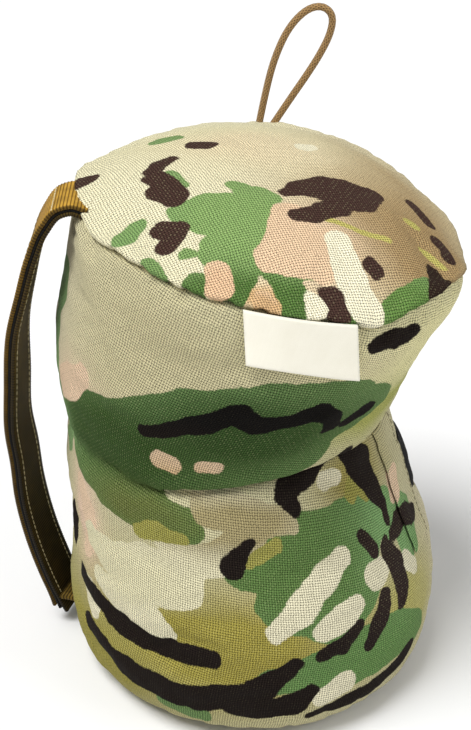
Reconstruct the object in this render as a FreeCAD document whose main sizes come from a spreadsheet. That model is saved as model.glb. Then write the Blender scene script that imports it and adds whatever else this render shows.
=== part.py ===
"""Filled fabric support bag: a soft drum with a domed top, a side carry strap and a cord loop.

Frame: millimetres, +Z up, origin at the centre of the flat underside, -Y is the front
(the side with the label), -X is the side with the carry strap.
"""
import FreeCAD
import Part
import math
import os

from FreeCAD import Placement, Rotation, Vector

doc = FreeCAD.newDocument("support_bag")
sheet = doc.addObject("Spreadsheet::Sheet", "sizes")

# Driving dimensions: alias, value in mm or degrees, meaning.
SIZES = [
    ("panel_thick", 1.0, "thickness of the camouflage fabric"),
    ("liner_inset", 2.9, "outside of the side panel to outside of the inner liner"),
    ("liner_thick", 0.5, "thickness of the inner liner"),
    ("fill_inset", 3.6, "outside of the side panel to the filling"),
    ("heel_radius", 9.0, "rounding of the bottom edge"),
    ("dome_rise", 22.0, "rise of the dome above the top seam"),
    ("allowance_thick", 0.9, "thickness of a turned-in seam allowance"),
    ("allowance_gap", 0.4, "gap between a seam allowance and the side panel"),
    ("allowance_deep", 6.0, "depth of a seam allowance"),
    ("thread_radius", 0.4, "radius of the seam thread"),
    ("thread_deep", 3.0, "distance of the seam thread from the seam line"),
    ("window_near", 40.0, "start of every cutting window on the right side, X"),
    ("window_long", 60.0, "length of those windows along X"),
    ("root_deep", 1.0, "length of a seam allowance beyond its seam line"),
    ("seam_width", 16.0, "width of the pressed-open side seam"),
    ("seam_thick", 0.7, "thickness of the side seam's allowance"),
    ("seam_proud", 0.4, "thickness of the side seam's thread"),
    ("seam_row", -7.3, "place of the side seam's thread along Y"),
    ("seam_clear", 2.0, "gap between the bottom seam's allowance and the side seam's"),
    ("seam_turn_y", -6.0, "place of the side seam along Y"),
    ("strap_width", 25.4, "width of the carry strap, one inch webbing"),
    ("strap_face", 1.9, "thickness of the outer and the inner webbing"),
    ("strap_core", 1.6, "thickness of the black core webbing"),
    ("strap_root_x", -84.0, "foot of the strap's own frame, X"),
    ("strap_root_y", 14.0, "foot of the strap's own frame, Y"),
    ("strap_root_z", 4.0, "foot of the strap's own frame, Z"),
    ("strap_yaw", 168.0, "turn of the strap's frame about Z, outwards is its X"),
    ("strap_roll", -7.2, "slant of the strap, its top is nearer the front"),
    ("strap_cut_low", 18.5, "height of the lower stitching, where the free strap starts"),
    ("strap_cut_high", 243.0, "height of the upper stitching, where the free strap ends"),
    ("strap_clear", 1.2, "free gap between the swinging strap and its sewn ends"),
    ("core_narrow", 0.6, "how much narrower the core webbing is than the other two"),
    ("stitch_inset", 3.4, "distance of the strap's stitch rows from its edges"),
    ("stitch_wide", 0.8, "width of a stitch row"),
    ("stitch_proud", 0.3, "height of a stitch row above the webbing"),
    ("tongue_long", 9.0, "length of webbing from the strap into the bottom seam"),
    ("tongue_lap", 1.5, "how far that webbing reaches into the strap's foot"),
    ("tongue_low", 6.2, "underside of that webbing in the strap's frame"),
    ("tongue_thick", 2.4, "thickness of that webbing"),
    ("cord_radius", 1.8, "radius of the loop cord"),
    ("cord_proud", 0.4, "how far the cord's middle lies outside the top seam"),
    ("cord_clear", 3.0, "free gap between the swinging loop and its sewn-in ends"),
    ("cord_buried", 7.0, "length of each cord end inside the seam"),
    ("label_wide", 50.8, "width of the folded label"),
    ("label_tall", 23.4, "height of the label below the seam"),
    ("label_thick", 0.9, "thickness of the folded label"),
    ("label_turn", -83.0, "azimuth of the middle of the label"),
    ("label_clear", 0.6, "gap between the label and the side panel"),
    ("label_drop", 0.6, "top of the label below the seam line"),
    ("flap_low", 72.0, "lower end of the closure flap"),
    ("flap_tall", 70.0, "height of the closure flap"),
    ("flap_front", -29.0, "hinge line of the closure flap, Y"),
    ("flap_wide", 21.0, "width of the closure flap along Y"),
    ("flap_root", 3.0, "width of the sewn root of the closure flap"),
    ("root_clear", 0.4, "gap between that root and the side panel"),
    ("flap_lift", 2.5, "underside of the flap above the side panel"),
    ("flap_thick", 1.0, "thickness of the hemmed flap"),
    ("hem_wide", 1.0, "width of the stitch row on the flap's hem"),
    ("hem_inset", 3.0, "distance of that stitch row from the free edge"),
    ("hem_short", 3.0, "distance of that stitch row from the flap's ends"),
    ("tape_low", 93.0, "lower end of the hook-and-loop tapes"),
    ("tape_tall", 25.0, "height of the hook-and-loop tapes"),
    ("loop_front", -24.0, "front edge of the loop tape, Y"),
    ("loop_wide", 46.0, "width of the loop tape along Y"),
    ("loop_thick", 1.1, "thickness of the loop tape"),
    ("hook_front", -24.0, "front edge of the hook tape, Y"),
    ("hook_wide", 14.0, "width of the hook tape along Y"),
    ("hook_lift", 1.5, "underside of the hook tape above the side panel"),
    ("slit_wide", 2.0, "width of the filling slit under the flap"),
    ("slit_low", 78.0, "lower end of the filling slit"),
    ("slit_tall", 58.0, "height of the filling slit"),
    ("slit_turn_y", -18.0, "place of the filling slit along Y"),
]

# Outline of the side panel, from the bottom seam to the top seam.
# level: height, centre x, centre y, radius x, radius y, lean to the right, lean to the front
LEVELS = {
    "foot": (10.0, 0.0, 0.0, 87.5, 87.5, 0.0, 0.0),
    "heel": (16.0, 0.0, 0.0, 88.0, 88.0, 0.0, 0.0),
    "hip": (30.0, -0.5, 0.0, 89.0, 88.5, 0.0, 0.0),
    "belly": (60.0, -0.5, 0.0, 87.5, 87.0, 0.0, 0.0),
    "flank": (95.0, -5.5, 0.0, 81.6, 81.2, 0.0, 0.0),
    "under": (120.0, -9.5, 0.5, 78.0, 76.0, 0.0, 0.0),
    "waist": (141.0, -13.2, 2.0, 74.8, 71.0, 0.0, 0.0),
    "chest": (165.0, -10.5, 1.0, 80.5, 77.5, 3.0, 0.5),
    "shoulder": (197.0, -0.5, 0.5, 88.5, 86.5, 6.0, 1.5),
    "collar": (223.5, 4.7, 1.6, 89.3, 89.2, 10.0, 2.1),
    "rim": (241.5, 8.0, 1.0, 89.0, 89.0, 10.7, 2.2),
}
LEVEL_VALUES = ("height", "centre_x", "centre_y", "radius_x", "radius_y", "lean_right", "lean_front")

# Strap path in the strap's own frame: outwards and up, along its outer face.
STRAP_PATH = [(-9.0, 255.8), (-3.5, 255.8), (3.0, 243.5), (13.5, 214.0), (25.0, 168.0),
              (27.2, 125.0), (25.2, 78.0), (16.5, 21.5), (14.6, 5.5)]

# Loop cord: x and z of the route's points, in the upright plane through the cord's exits.
CORD_ROUTE = [(2.4, 248.5), (5.2, 264.0), (9.2, 280.5), (15.5, 295.5), (24.0, 305.0), (31.8, 306.8),
              (37.0, 302.0), (35.9, 292.8), (31.0, 282.0), (24.6, 271.0), (17.6, 260.0), (10.6, 248.5)]


def write_sizes():
    """Put every driving dimension in the sheet, one cell each, under its alias."""
    rows = [(alias, value, note) for alias, value, note in SIZES]
    for level, values in LEVELS.items():
        for name, value in zip(LEVEL_VALUES, values):
            rows.append((level + "_" + name, value, "side panel outline"))
    for index, point in enumerate(STRAP_PATH):
        rows.append(("strap_out_p%d" % index, point[0], "strap path"))
        rows.append(("strap_up_p%d" % index, point[1], "strap path"))
    for index, point in enumerate(CORD_ROUTE):
        rows.append(("cord_x_p%d" % index, point[0], "cord route"))
        rows.append(("cord_z_p%d" % index, point[1], "cord route"))
    for row, (alias, value, note) in enumerate(rows, start=1):
        sheet.set("A%d" % row, note)
        sheet.set("B%d" % row, str(value))
        sheet.setAlias("B%d" % row, alias)
    doc.recompute()


def size(alias):
    return float(sheet.get(alias))


def rim_placement(across=0.0, front=0.0, up=0.0):
    """Placement in the leaning plane of the top seam."""
    return level_placement("rim").multiply(Placement(Vector(across, front, up), Rotation()))


def level_placement(level):
    """Placement of one outline level: leans to the right (about Y) and to the front (about X)."""
    right, front = size(level + "_lean_right"), size(level + "_lean_front")
    lean = math.hypot(right, front)
    axis = Vector(front, right, 0) if lean else Vector(0, 1, 0)
    centre = Vector(size(level + "_centre_x"), size(level + "_centre_y"), size(level + "_height"))
    return Placement(centre, Rotation(axis, lean))


def place(thing, placement):
    thing.Placement = placement
    return thing


def outline_ring(level, inset, tag, drop):
    ring = doc.addObject("Part::Ellipse", level + "_" + tag)
    ring.setExpression("MajorRadius", "sizes.%s_radius_x - (%s)" % (level, inset))
    ring.setExpression("MinorRadius", "sizes.%s_radius_y - (%s)" % (level, inset))
    placement = level_placement(level)
    if level == "rim":
        placement = placement.multiply(Placement(Vector(0, 0, -drop), Rotation()))
    return place(ring, placement)


def drum(tag, inset, drop=0.0):
    """Solid of the side panel's outline, inset by an expression, its top end lowered by a drop."""
    loft = doc.addObject("Part::Loft", "drum_" + tag)
    loft.Sections = [outline_ring(level, inset, tag, drop) for level in LEVELS]
    loft.Solid = True
    loft.Ruled = True
    return loft


def dome(tag, inset, drop):
    """Solid of the domed top, inset by an expression: a cap on a circle as wide as the drum's top end."""
    cap = doc.addObject("Part::Sphere", "dome_" + tag)
    half = "(sizes.rim_radius_x - (%s))" % inset
    radius = "(%s ^ 2 + sizes.dome_rise ^ 2) / (2 * sizes.dome_rise)" % half
    cap.setExpression("Radius", radius)
    cap.setExpression("Angle1", "asin(1 - sizes.dome_rise / (%s))" % radius)
    doc.recompute()
    return place(cap, rim_placement(up=size("dome_rise") - drop - cap.Radius.Value))


def dish(tag, inset, rise):
    """Solid of the rounded bottom below the bottom seam, inset by an expression."""
    plug = doc.addObject("Part::Cylinder", "plug_" + tag)
    plug.setExpression("Radius", "sizes.foot_radius_x - (%s)" % inset)
    plug.setExpression("Height", "sizes.foot_height - (%s)" % rise)
    plug.setExpression("Placement.Base.z", rise)
    doc.recompute()
    rounded = doc.addObject("Part::Fillet", "dish_" + tag)
    rounded.Base = plug
    low = [n for n, edge in enumerate(plug.Shape.Edges, start=1) if is_low_circle(edge, plug.Shape)]
    radius = size("heel_radius") - (plug.Placement.Base.z if plug.Placement.Base.z else 0.0)
    rounded.Edges = [(number, radius, radius) for number in low]
    return rounded


def is_low_circle(edge, shape):
    box = edge.BoundBox
    return box.ZLength < 1e-6 and abs(box.ZMin - shape.BoundBox.ZMin) < 1e-6


def box(tag, x, y, z, long_x, long_y, long_z):
    """Box from expressions for its lowest corner and its lengths."""
    block = doc.addObject("Part::Box", tag)
    for name, value in (("Placement.Base.x", x), ("Placement.Base.y", y), ("Placement.Base.z", z)):
        block.setExpression(name, value)
    for name, value in (("Length", long_x), ("Width", long_y), ("Height", long_z)):
        block.setExpression(name, value)
    return block


def cut(tag, base, tool):
    made = doc.addObject("Part::Cut", tag)
    made.Base, made.Tool = base, tool
    return made


def common(tag, base, tool):
    made = doc.addObject("Part::Common", tag)
    made.Base, made.Tool = base, tool
    return made


def fuse(tag, shapes):
    made = doc.addObject("Part::MultiFuse", tag)
    made.Shapes = shapes
    return made


def named(label, thing):
    """Mark an object as a finished sub-part under its own label."""
    thing.Label = label
    PIECES.append(thing)
    return thing


PIECES = []
write_sizes()

# ---------------------------------------------------------------- fabric shell and filling
panel = "sizes.panel_thick"
shell = cut("side_shell", drum("outside", "0"), drum("inside", panel))
slit = box("filling_slit", "sizes.window_near", "sizes.slit_turn_y", "sizes.slit_low",
           "sizes.window_long", "sizes.slit_wide", "sizes.slit_tall")
named("side_panel", cut("side_panel_cut", shell, slit))


def ring_wall(tag, radius, thick, tall):
    """Upright ring wall from expressions for its outer radius, thickness and height."""
    outer = doc.addObject("Part::Cylinder", tag + "_outer")
    inner = doc.addObject("Part::Cylinder", tag + "_inner")
    outer.setExpression("Radius", radius)
    inner.setExpression("Radius", "%s - %s" % (radius, thick))
    for part in (outer, inner):
        part.setExpression("Height", tall)
    return outer, inner


rim_inside = "sizes.rim_radius_x - sizes.panel_thick - sizes.allowance_gap"
allowance_tall = "sizes.allowance_deep + sizes.root_deep"
outer, inner = ring_wall("top_allowance", rim_inside, "sizes.allowance_thick", allowance_tall)
for part in (outer, inner):
    place(part, rim_placement(up=-size("allowance_deep")))
cap_shell = cut("cap_shell", dome("outside", "0", 0.0), dome("inside", panel, size("panel_thick")))
named("top_panel", fuse("top_panel_fuse", [cap_shell, cut("top_allowance", outer, inner)]))

foot_inside = "sizes.foot_radius_x - sizes.panel_thick"
outer, inner = ring_wall("bottom_allowance", foot_inside, "sizes.allowance_thick", allowance_tall)
for part in (outer, inner):
    part.setExpression("Placement.Base.z", "sizes.foot_height - sizes.root_deep")
dish_shell = cut("dish_shell", dish("outside", "0", "0"), dish("inside", panel, panel))
named("bottom_panel", fuse("bottom_panel_fuse", [dish_shell, cut("bottom_allowance", outer, inner)]))


def filled_form(tag, inset, drop):
    return fuse("form_" + tag, [dish(tag, inset, inset), drum(tag, inset, drop), dome(tag, inset, drop)])


hollow = "sizes.liner_inset + sizes.liner_thick"
liner_form = filled_form("liner", "sizes.liner_inset", size("liner_inset"))
hollow_form = filled_form("hollow", hollow, size("liner_inset") + size("liner_thick"))
named("fill_liner", cut("fill_liner_cut", liner_form, hollow_form))
named("bead_fill", filled_form("fill", "sizes.fill_inset", size("fill_inset")))

# ---------------------------------------------------------------- seams
top_thread = doc.addObject("Part::Torus", "top_thread")
top_thread.setExpression("Radius1", rim_inside)
top_thread.setExpression("Radius2", "sizes.thread_radius")
place(top_thread, rim_placement(up=-size("thread_deep")))
named("top_seam_thread", top_thread)

bottom_thread = doc.addObject("Part::Torus", "bottom_thread")
bottom_thread.setExpression("Radius1", foot_inside)
bottom_thread.setExpression("Radius2", "sizes.thread_radius")
bottom_thread.setExpression("Placement.Base.z", "sizes.foot_height + sizes.thread_deep")
named("bottom_seam_thread", bottom_thread)

seam_low = "sizes.foot_height + sizes.allowance_deep + sizes.seam_clear"
seam_tall = "sizes.shoulder_height - sizes.foot_height"
seam_inside = "sizes.panel_thick + sizes.seam_thick"
allowance_shell = cut("seam_shell", drum("seam_out", panel), drum("seam_in", seam_inside))
allowance_slot = box("seam_slot", "sizes.window_near", "sizes.seam_turn_y - sizes.seam_width / 2", seam_low,
                     "sizes.window_long", "sizes.seam_width", seam_tall)
named("side_seam_allowance", common("side_seam_allowance_cut", allowance_shell, allowance_slot))
row_inside = seam_inside + " + sizes.seam_proud"
row_shell = cut("row_shell", drum("row_out", seam_inside), drum("row_in", row_inside))
row_slot = box("row_slot", "sizes.window_near", "sizes.seam_row", seam_low,
               "sizes.window_long", "sizes.stitch_wide", seam_tall)
named("side_seam_thread", common("side_seam_thread_cut", row_shell, row_slot))

# ---------------------------------------------------------------- closure on the right side


def patch(tag, low, thick, y, wide, z, tall):
    """Piece of fabric that follows the side panel: height above it, thickness, and its window."""
    over = drum(tag + "_over", "-(%s) - (%s)" % (low, thick))
    under = drum(tag + "_under", "-(%s)" % low)
    window = box(tag + "_window", "sizes.window_near", y, z, "sizes.window_long", wide, tall)
    return common(tag + "_patch", cut(tag + "_skin", over, under), window)


named("loop_tape", patch("loop_tape", "0", "sizes.loop_thick", "sizes.loop_front", "sizes.loop_wide",
                         "sizes.tape_low", "sizes.tape_tall"))
named("hook_tape", patch("hook_tape", "sizes.hook_lift", "sizes.flap_lift - sizes.hook_lift",
                         "sizes.hook_front", "sizes.hook_wide", "sizes.tape_low", "sizes.tape_tall"))
flap_leaf = patch("flap_leaf", "sizes.flap_lift", "sizes.flap_thick", "sizes.flap_front", "sizes.flap_wide",
                  "sizes.flap_low", "sizes.flap_tall")
flap_root = patch("flap_root", "sizes.root_clear", "sizes.flap_lift - sizes.root_clear", "sizes.flap_front",
                  "sizes.flap_root", "sizes.flap_low", "sizes.flap_tall")
named("closure_flap", fuse("closure_flap_fuse", [flap_leaf, flap_root]))
named("flap_stitching", patch("flap_stitching", "sizes.flap_lift + sizes.flap_thick", "sizes.stitch_proud",
                              "sizes.flap_front + sizes.flap_wide - sizes.hem_inset", "sizes.hem_wide",
                              "sizes.flap_low + sizes.hem_short", "sizes.flap_tall - 2 * sizes.hem_short"))

# ---------------------------------------------------------------- label
label = doc.addObject("Part::Box", "label_box")
label.setExpression("Length", "sizes.label_wide")
label.setExpression("Width", "sizes.label_thick")
label.setExpression("Height", "sizes.label_tall")
turn = math.radians(size("label_turn"))
stand_off = size("rim_radius_x") + size("label_clear")
top_middle = rim_placement(stand_off * math.cos(turn), stand_off * math.sin(turn), -size("label_drop")).Base
along = rim_placement().Rotation.multVec(Vector(-math.sin(turn), math.cos(turn), 0))
outwards = along.cross(Vector(0, 0, 1)).normalize()
upwards = outwards.cross(along).normalize()
corner = top_middle - along * (size("label_wide") / 2) - upwards * size("label_tall")
corner = corner + outwards * size("label_thick")
place(label, Placement(corner, Rotation(along, -outwards, upwards, "XYZ")))
named("label", label)

# ---------------------------------------------------------------- carry strap
strap_frame = Placement(Vector(size("strap_root_x"), size("strap_root_y"), size("strap_root_z")),
                        Rotation(size("strap_yaw"), 0, size("strap_roll")))


def rounded_path(points, share=0.45):
    """Straight runs joined by tangent arcs, each arc as large as its two runs allow."""
    edges = []
    start = points[0]
    for before, corner_point, after in zip(points, points[1:], points[2:]):
        back = (before - corner_point).normalize()
        ahead = (after - corner_point).normalize()
        reach = share * min((before - corner_point).Length, (after - corner_point).Length)
        leave, join = corner_point + back * reach, corner_point + ahead * reach
        half = math.acos(max(-1.0, min(1.0, back.dot(ahead)))) / 2
        radius = reach * math.tan(half)
        centre = corner_point + (back + ahead).normalize() * (radius / math.sin(half))
        middle = centre + (corner_point - centre).normalize() * radius
        edges.append(Part.LineSegment(start, leave).toShape())
        edges.append(Part.Arc(leave, middle, join).toShape())
        RADII.append(radius)
        start = join
    edges.append(Part.LineSegment(start, points[-1]).toShape())
    return Part.Wire(edges)


RADII = []


def strap_points(depth):
    """The strap's path moved inwards by a depth, as points in the strap's frame."""
    points = [Vector(size("strap_out_p%d" % n), 0, size("strap_up_p%d" % n)) for n in range(len(STRAP_PATH))]
    moved = []
    for number, point in enumerate(points):
        before = points[max(number - 1, 0)]
        after = points[min(number + 1, len(points) - 1)]
        into = (point - before).normalize() if number else (after - point).normalize()
        out = (after - point).normalize() if number < len(points) - 1 else into
        sides = [Vector(-way.z, 0, way.x) for way in (into, out)]
        bisector = (sides[0] + sides[1]).normalize()
        moved.append(point - bisector * (depth / bisector.dot(sides[0])))
    return moved


def strap_band(depth, thick, wide, across=0.0):
    """Band of webbing along the strap: depth of its outer face, thickness, width, offset across."""
    outer_wire = rounded_path(strap_points(depth))
    inner_wire = rounded_path(strap_points(depth + thick))
    ends = [(outer_wire.Edges[0].Vertexes[0], inner_wire.Edges[0].Vertexes[0]),
            (outer_wire.Edges[-1].Vertexes[-1], inner_wire.Edges[-1].Vertexes[-1])]
    caps = [Part.LineSegment(a.Point, b.Point).toShape() for a, b in ends]
    outline = Part.Wire(Part.__sortEdges__(outer_wire.Edges + inner_wire.Edges + caps))
    band = Part.Face(outline).extrude(Vector(0, wide, 0))
    band.translate(Vector(0, across - wide / 2, 0))
    return band


def slab(low, high):
    """Everything in the strap's frame between two heights, well past the strap on every side."""
    reach = 4 * size("strap_width")
    return Part.makeBox(2 * reach, 2 * reach, high - low, Vector(-reach, -reach, low))


def strap_piece(name, shape):
    piece = doc.addObject("Part::Feature", name + "_shape")
    piece.Shape = shape
    piece.Placement = strap_frame
    return named(name, piece)


face, core, wide = size("strap_face"), size("strap_core"), size("strap_width")
low, high, clear = size("strap_cut_low"), size("strap_cut_high"), size("strap_clear")
free_run = slab(low + clear, high - clear)
strap_piece("strap_outer_webbing", strap_band(0, face, wide).common(free_run))
strap_piece("strap_core_webbing", strap_band(face, core, wide - size("core_narrow")).common(free_run))
strap_piece("strap_inner_webbing", strap_band(face + core, face, wide).common(free_run))

row_across = wide / 2 - size("stitch_inset")
rows = []
for side in (-1, 1):
    for depth in (-size("stitch_proud"), 2 * face + core):
        row = strap_band(depth, size("stitch_proud"), size("stitch_wide"), side * row_across)
        rows.append(row.common(free_run))
strap_piece("strap_stitching", Part.makeCompound(rows))

whole_stack = strap_band(0, 2 * face + core, wide)
strap_piece("strap_top_end", whole_stack.common(slab(high, high + wide)))
foot_stack = whole_stack.common(slab(0, low))
tongue_start = foot_stack.BoundBox.XMin + size("tongue_lap") - size("tongue_long")
tongue = Part.makeBox(size("tongue_long"), wide, size("tongue_thick"),
                      Vector(tongue_start, -wide / 2, size("tongue_low")))
strap_piece("strap_bottom_end", foot_stack.fuse(tongue).removeSplitter())

# ---------------------------------------------------------------- cord loop
exit_y = rim_placement(0, size("rim_radius_y"), 0).Base.y + size("cord_proud")
route = []
for number in range(len(CORD_ROUTE)):
    route.append(Vector(size("cord_x_p%d" % number), exit_y, size("cord_z_p%d" % number)))
RADII.clear()
path = rounded_path(route)
start_way = (route[1] - route[0]).normalize()
section = Part.Wire(Part.makeCircle(size("cord_radius"), route[0], start_way))
tube = path.makePipeShell([section], True, False)
cord = doc.addObject("Part::Feature", "cord_tube")
cord.Shape = tube
named("pull_loop", cord)
print("cord length %.1f mm" % path.Length, "arc radii", [round(radius, 1) for radius in RADII])
print("tube volume over section times length %.4f"
      % (tube.Volume / (math.pi * size("cord_radius") ** 2 * path.Length)))

stubs = []
for end, beside in ((route[0], route[1]), (route[-1], route[-2])):
    down = (end - beside).normalize()
    top = end + down * size("cord_clear")
    stubs.append(Part.makeCylinder(size("cord_radius"), size("cord_buried"), top, down))
ends = doc.addObject("Part::Feature", "cord_stubs")
ends.Shape = Part.makeCompound(stubs)
named("pull_loop_ends", ends)

# ---------------------------------------------------------------- check and write
# The joint axes, printed so that the record can repeat them.
mid_depth = face + core / 2
low_mid = strap_frame.multVec(Vector(STRAP_PATH[-2][0] - mid_depth, 0, low))
high_mid = strap_frame.multVec(Vector(STRAP_PATH[2][0] - mid_depth, 0, high))
print("strap axis from", low_mid, "to", high_mid, "direction", (high_mid - low_mid).normalize())
print("loop axis at", Vector((route[0].x + route[-1].x) / 2, exit_y, route[0].z))
print("label axis at", top_middle + outwards * (size("label_thick") / 2), "direction", -along)
doc.recompute()
for thing in doc.Objects:
    if {"Invalid", "Error"} & set(thing.State):
        raise RuntimeError("%s (%s) failed: %s" % (thing.Name, thing.Label, thing.State))
os.makedirs("parts", exist_ok=True)
for piece in PIECES:
    if piece.Shape.isNull() or not piece.Shape.isValid() or not piece.Shape.Solids:
        raise RuntimeError("%s has no valid solid" % piece.Label)
    bounds = piece.Shape.optimalBoundingBox(False)
    print("%-22s solids %2d  volume %9.0f  x %.1f..%.1f  y %.1f..%.1f  z %.1f..%.1f"
          % (piece.Label, len(piece.Shape.Solids), piece.Shape.Volume, bounds.XMin, bounds.XMax,
             bounds.YMin, bounds.YMax, bounds.ZMin, bounds.ZMax))
    piece.Shape.exportStep("parts/" + piece.Label + ".step")
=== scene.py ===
"""Looks of a filled camouflage support bag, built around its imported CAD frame.

The sizes here are millimetres in the frame's axes: +Z up, -Y the front with the label,
-X the side with the carry strap. They become metres where a mesh or a curve is made.
"""
import math
import random

import bpy
import numpy as np
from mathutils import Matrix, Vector, noise


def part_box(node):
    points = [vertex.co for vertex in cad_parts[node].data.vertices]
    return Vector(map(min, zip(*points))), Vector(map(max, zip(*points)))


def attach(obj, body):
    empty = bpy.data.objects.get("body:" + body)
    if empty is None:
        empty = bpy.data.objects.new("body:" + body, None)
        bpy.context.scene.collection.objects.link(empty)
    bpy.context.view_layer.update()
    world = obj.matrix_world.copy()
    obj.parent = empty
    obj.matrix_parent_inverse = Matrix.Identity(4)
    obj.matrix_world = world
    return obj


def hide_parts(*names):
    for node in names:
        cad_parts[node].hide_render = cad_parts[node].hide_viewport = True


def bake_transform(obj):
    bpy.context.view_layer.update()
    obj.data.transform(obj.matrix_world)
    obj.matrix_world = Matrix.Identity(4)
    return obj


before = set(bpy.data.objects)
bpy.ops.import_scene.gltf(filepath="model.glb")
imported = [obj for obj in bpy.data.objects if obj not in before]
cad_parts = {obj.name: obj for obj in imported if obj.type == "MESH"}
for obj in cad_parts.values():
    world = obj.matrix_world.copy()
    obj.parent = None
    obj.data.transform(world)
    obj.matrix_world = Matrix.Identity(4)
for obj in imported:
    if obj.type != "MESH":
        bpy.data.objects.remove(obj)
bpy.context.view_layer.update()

MM = 0.001
SCENE = bpy.context.scene
SCENE.view_settings.view_transform = "Standard"


# ---- camera, floor and light
CAMERA_PLACE = (0.0, -700.0, 591.0)
CAMERA_AIM = (-8.6, 0.0, 161.4)
CAMERA_LENS = 85.3
FLOOR_HALF, FLOOR_GREY, FLOOR_ROUGH = 6000.0, 0.8, 0.9
SKY_STRENGTH = 0.42
SUN_FROM, SUN_SPREAD, SUN_STRENGTH = (-450, -350, 1350), 28.0, 3.0
LAMP_PLACE, LAMP_AIM, LAMP_SIZE, LAMP_POWER = (1000, -500, 900), (0, 0, 130), 600, 4.0


def aimed(name, data, place, aim):
    """Camera or lamp at a place in millimetres, turned to look at another place."""
    thing = bpy.data.objects.new(name, data)
    SCENE.collection.objects.link(thing)
    place, aim = Vector(place) * MM, Vector(aim) * MM
    thing.location = place
    thing.rotation_euler = (aim - place).to_track_quat("-Z", "Y").to_euler()
    return thing


def add_camera():
    data = bpy.data.cameras.new("camera")
    data.lens = CAMERA_LENS
    SCENE.camera = aimed("camera", data, CAMERA_PLACE, CAMERA_AIM)


def add_lights():
    """Broad distant sun that lights the floor evenly, a small soft lamp from the right, and a pale sky."""
    sun = bpy.data.lights.new("key_sun", "SUN")
    sun.angle = math.radians(SUN_SPREAD)
    sun.energy = SUN_STRENGTH
    aimed("key_sun", sun, SUN_FROM, (0, 0, 0))
    lamp = bpy.data.lights.new("side_lamp", "AREA")
    lamp.size = LAMP_SIZE * MM
    lamp.energy = LAMP_POWER
    aimed("side_lamp", lamp, LAMP_PLACE, LAMP_AIM)
    world = bpy.data.worlds.new("sky")
    world.use_nodes = True
    sky = world.node_tree.nodes["Background"]
    sky.inputs["Color"].default_value = (1.0, 1.0, 1.0, 1)
    sky.inputs["Strength"].default_value = SKY_STRENGTH
    SCENE.world = world


def add_floor():
    mesh = bpy.data.meshes.new("floor")
    half = FLOOR_HALF * MM
    corners = [(-half, -half, 0), (half, -half, 0), (half, half, 0), (-half, half, 0)]
    mesh.from_pydata(corners, [], [(0, 1, 2, 3)])
    floor = bpy.data.objects.new("floor", mesh)
    SCENE.collection.objects.link(floor)
    paint = bpy.data.materials.new("floor_paint")
    paint.use_nodes = True
    shader = paint.node_tree.nodes["Principled BSDF"]
    shader.inputs["Base Color"].default_value = (FLOOR_GREY, FLOOR_GREY, FLOOR_GREY, 1)
    shader.inputs["Roughness"].default_value = FLOOR_ROUGH
    mesh.materials.append(paint)


add_camera()
add_floor()
add_lights()


# ---- material helpers
SHEEN_ROUGH = 0.6


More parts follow.
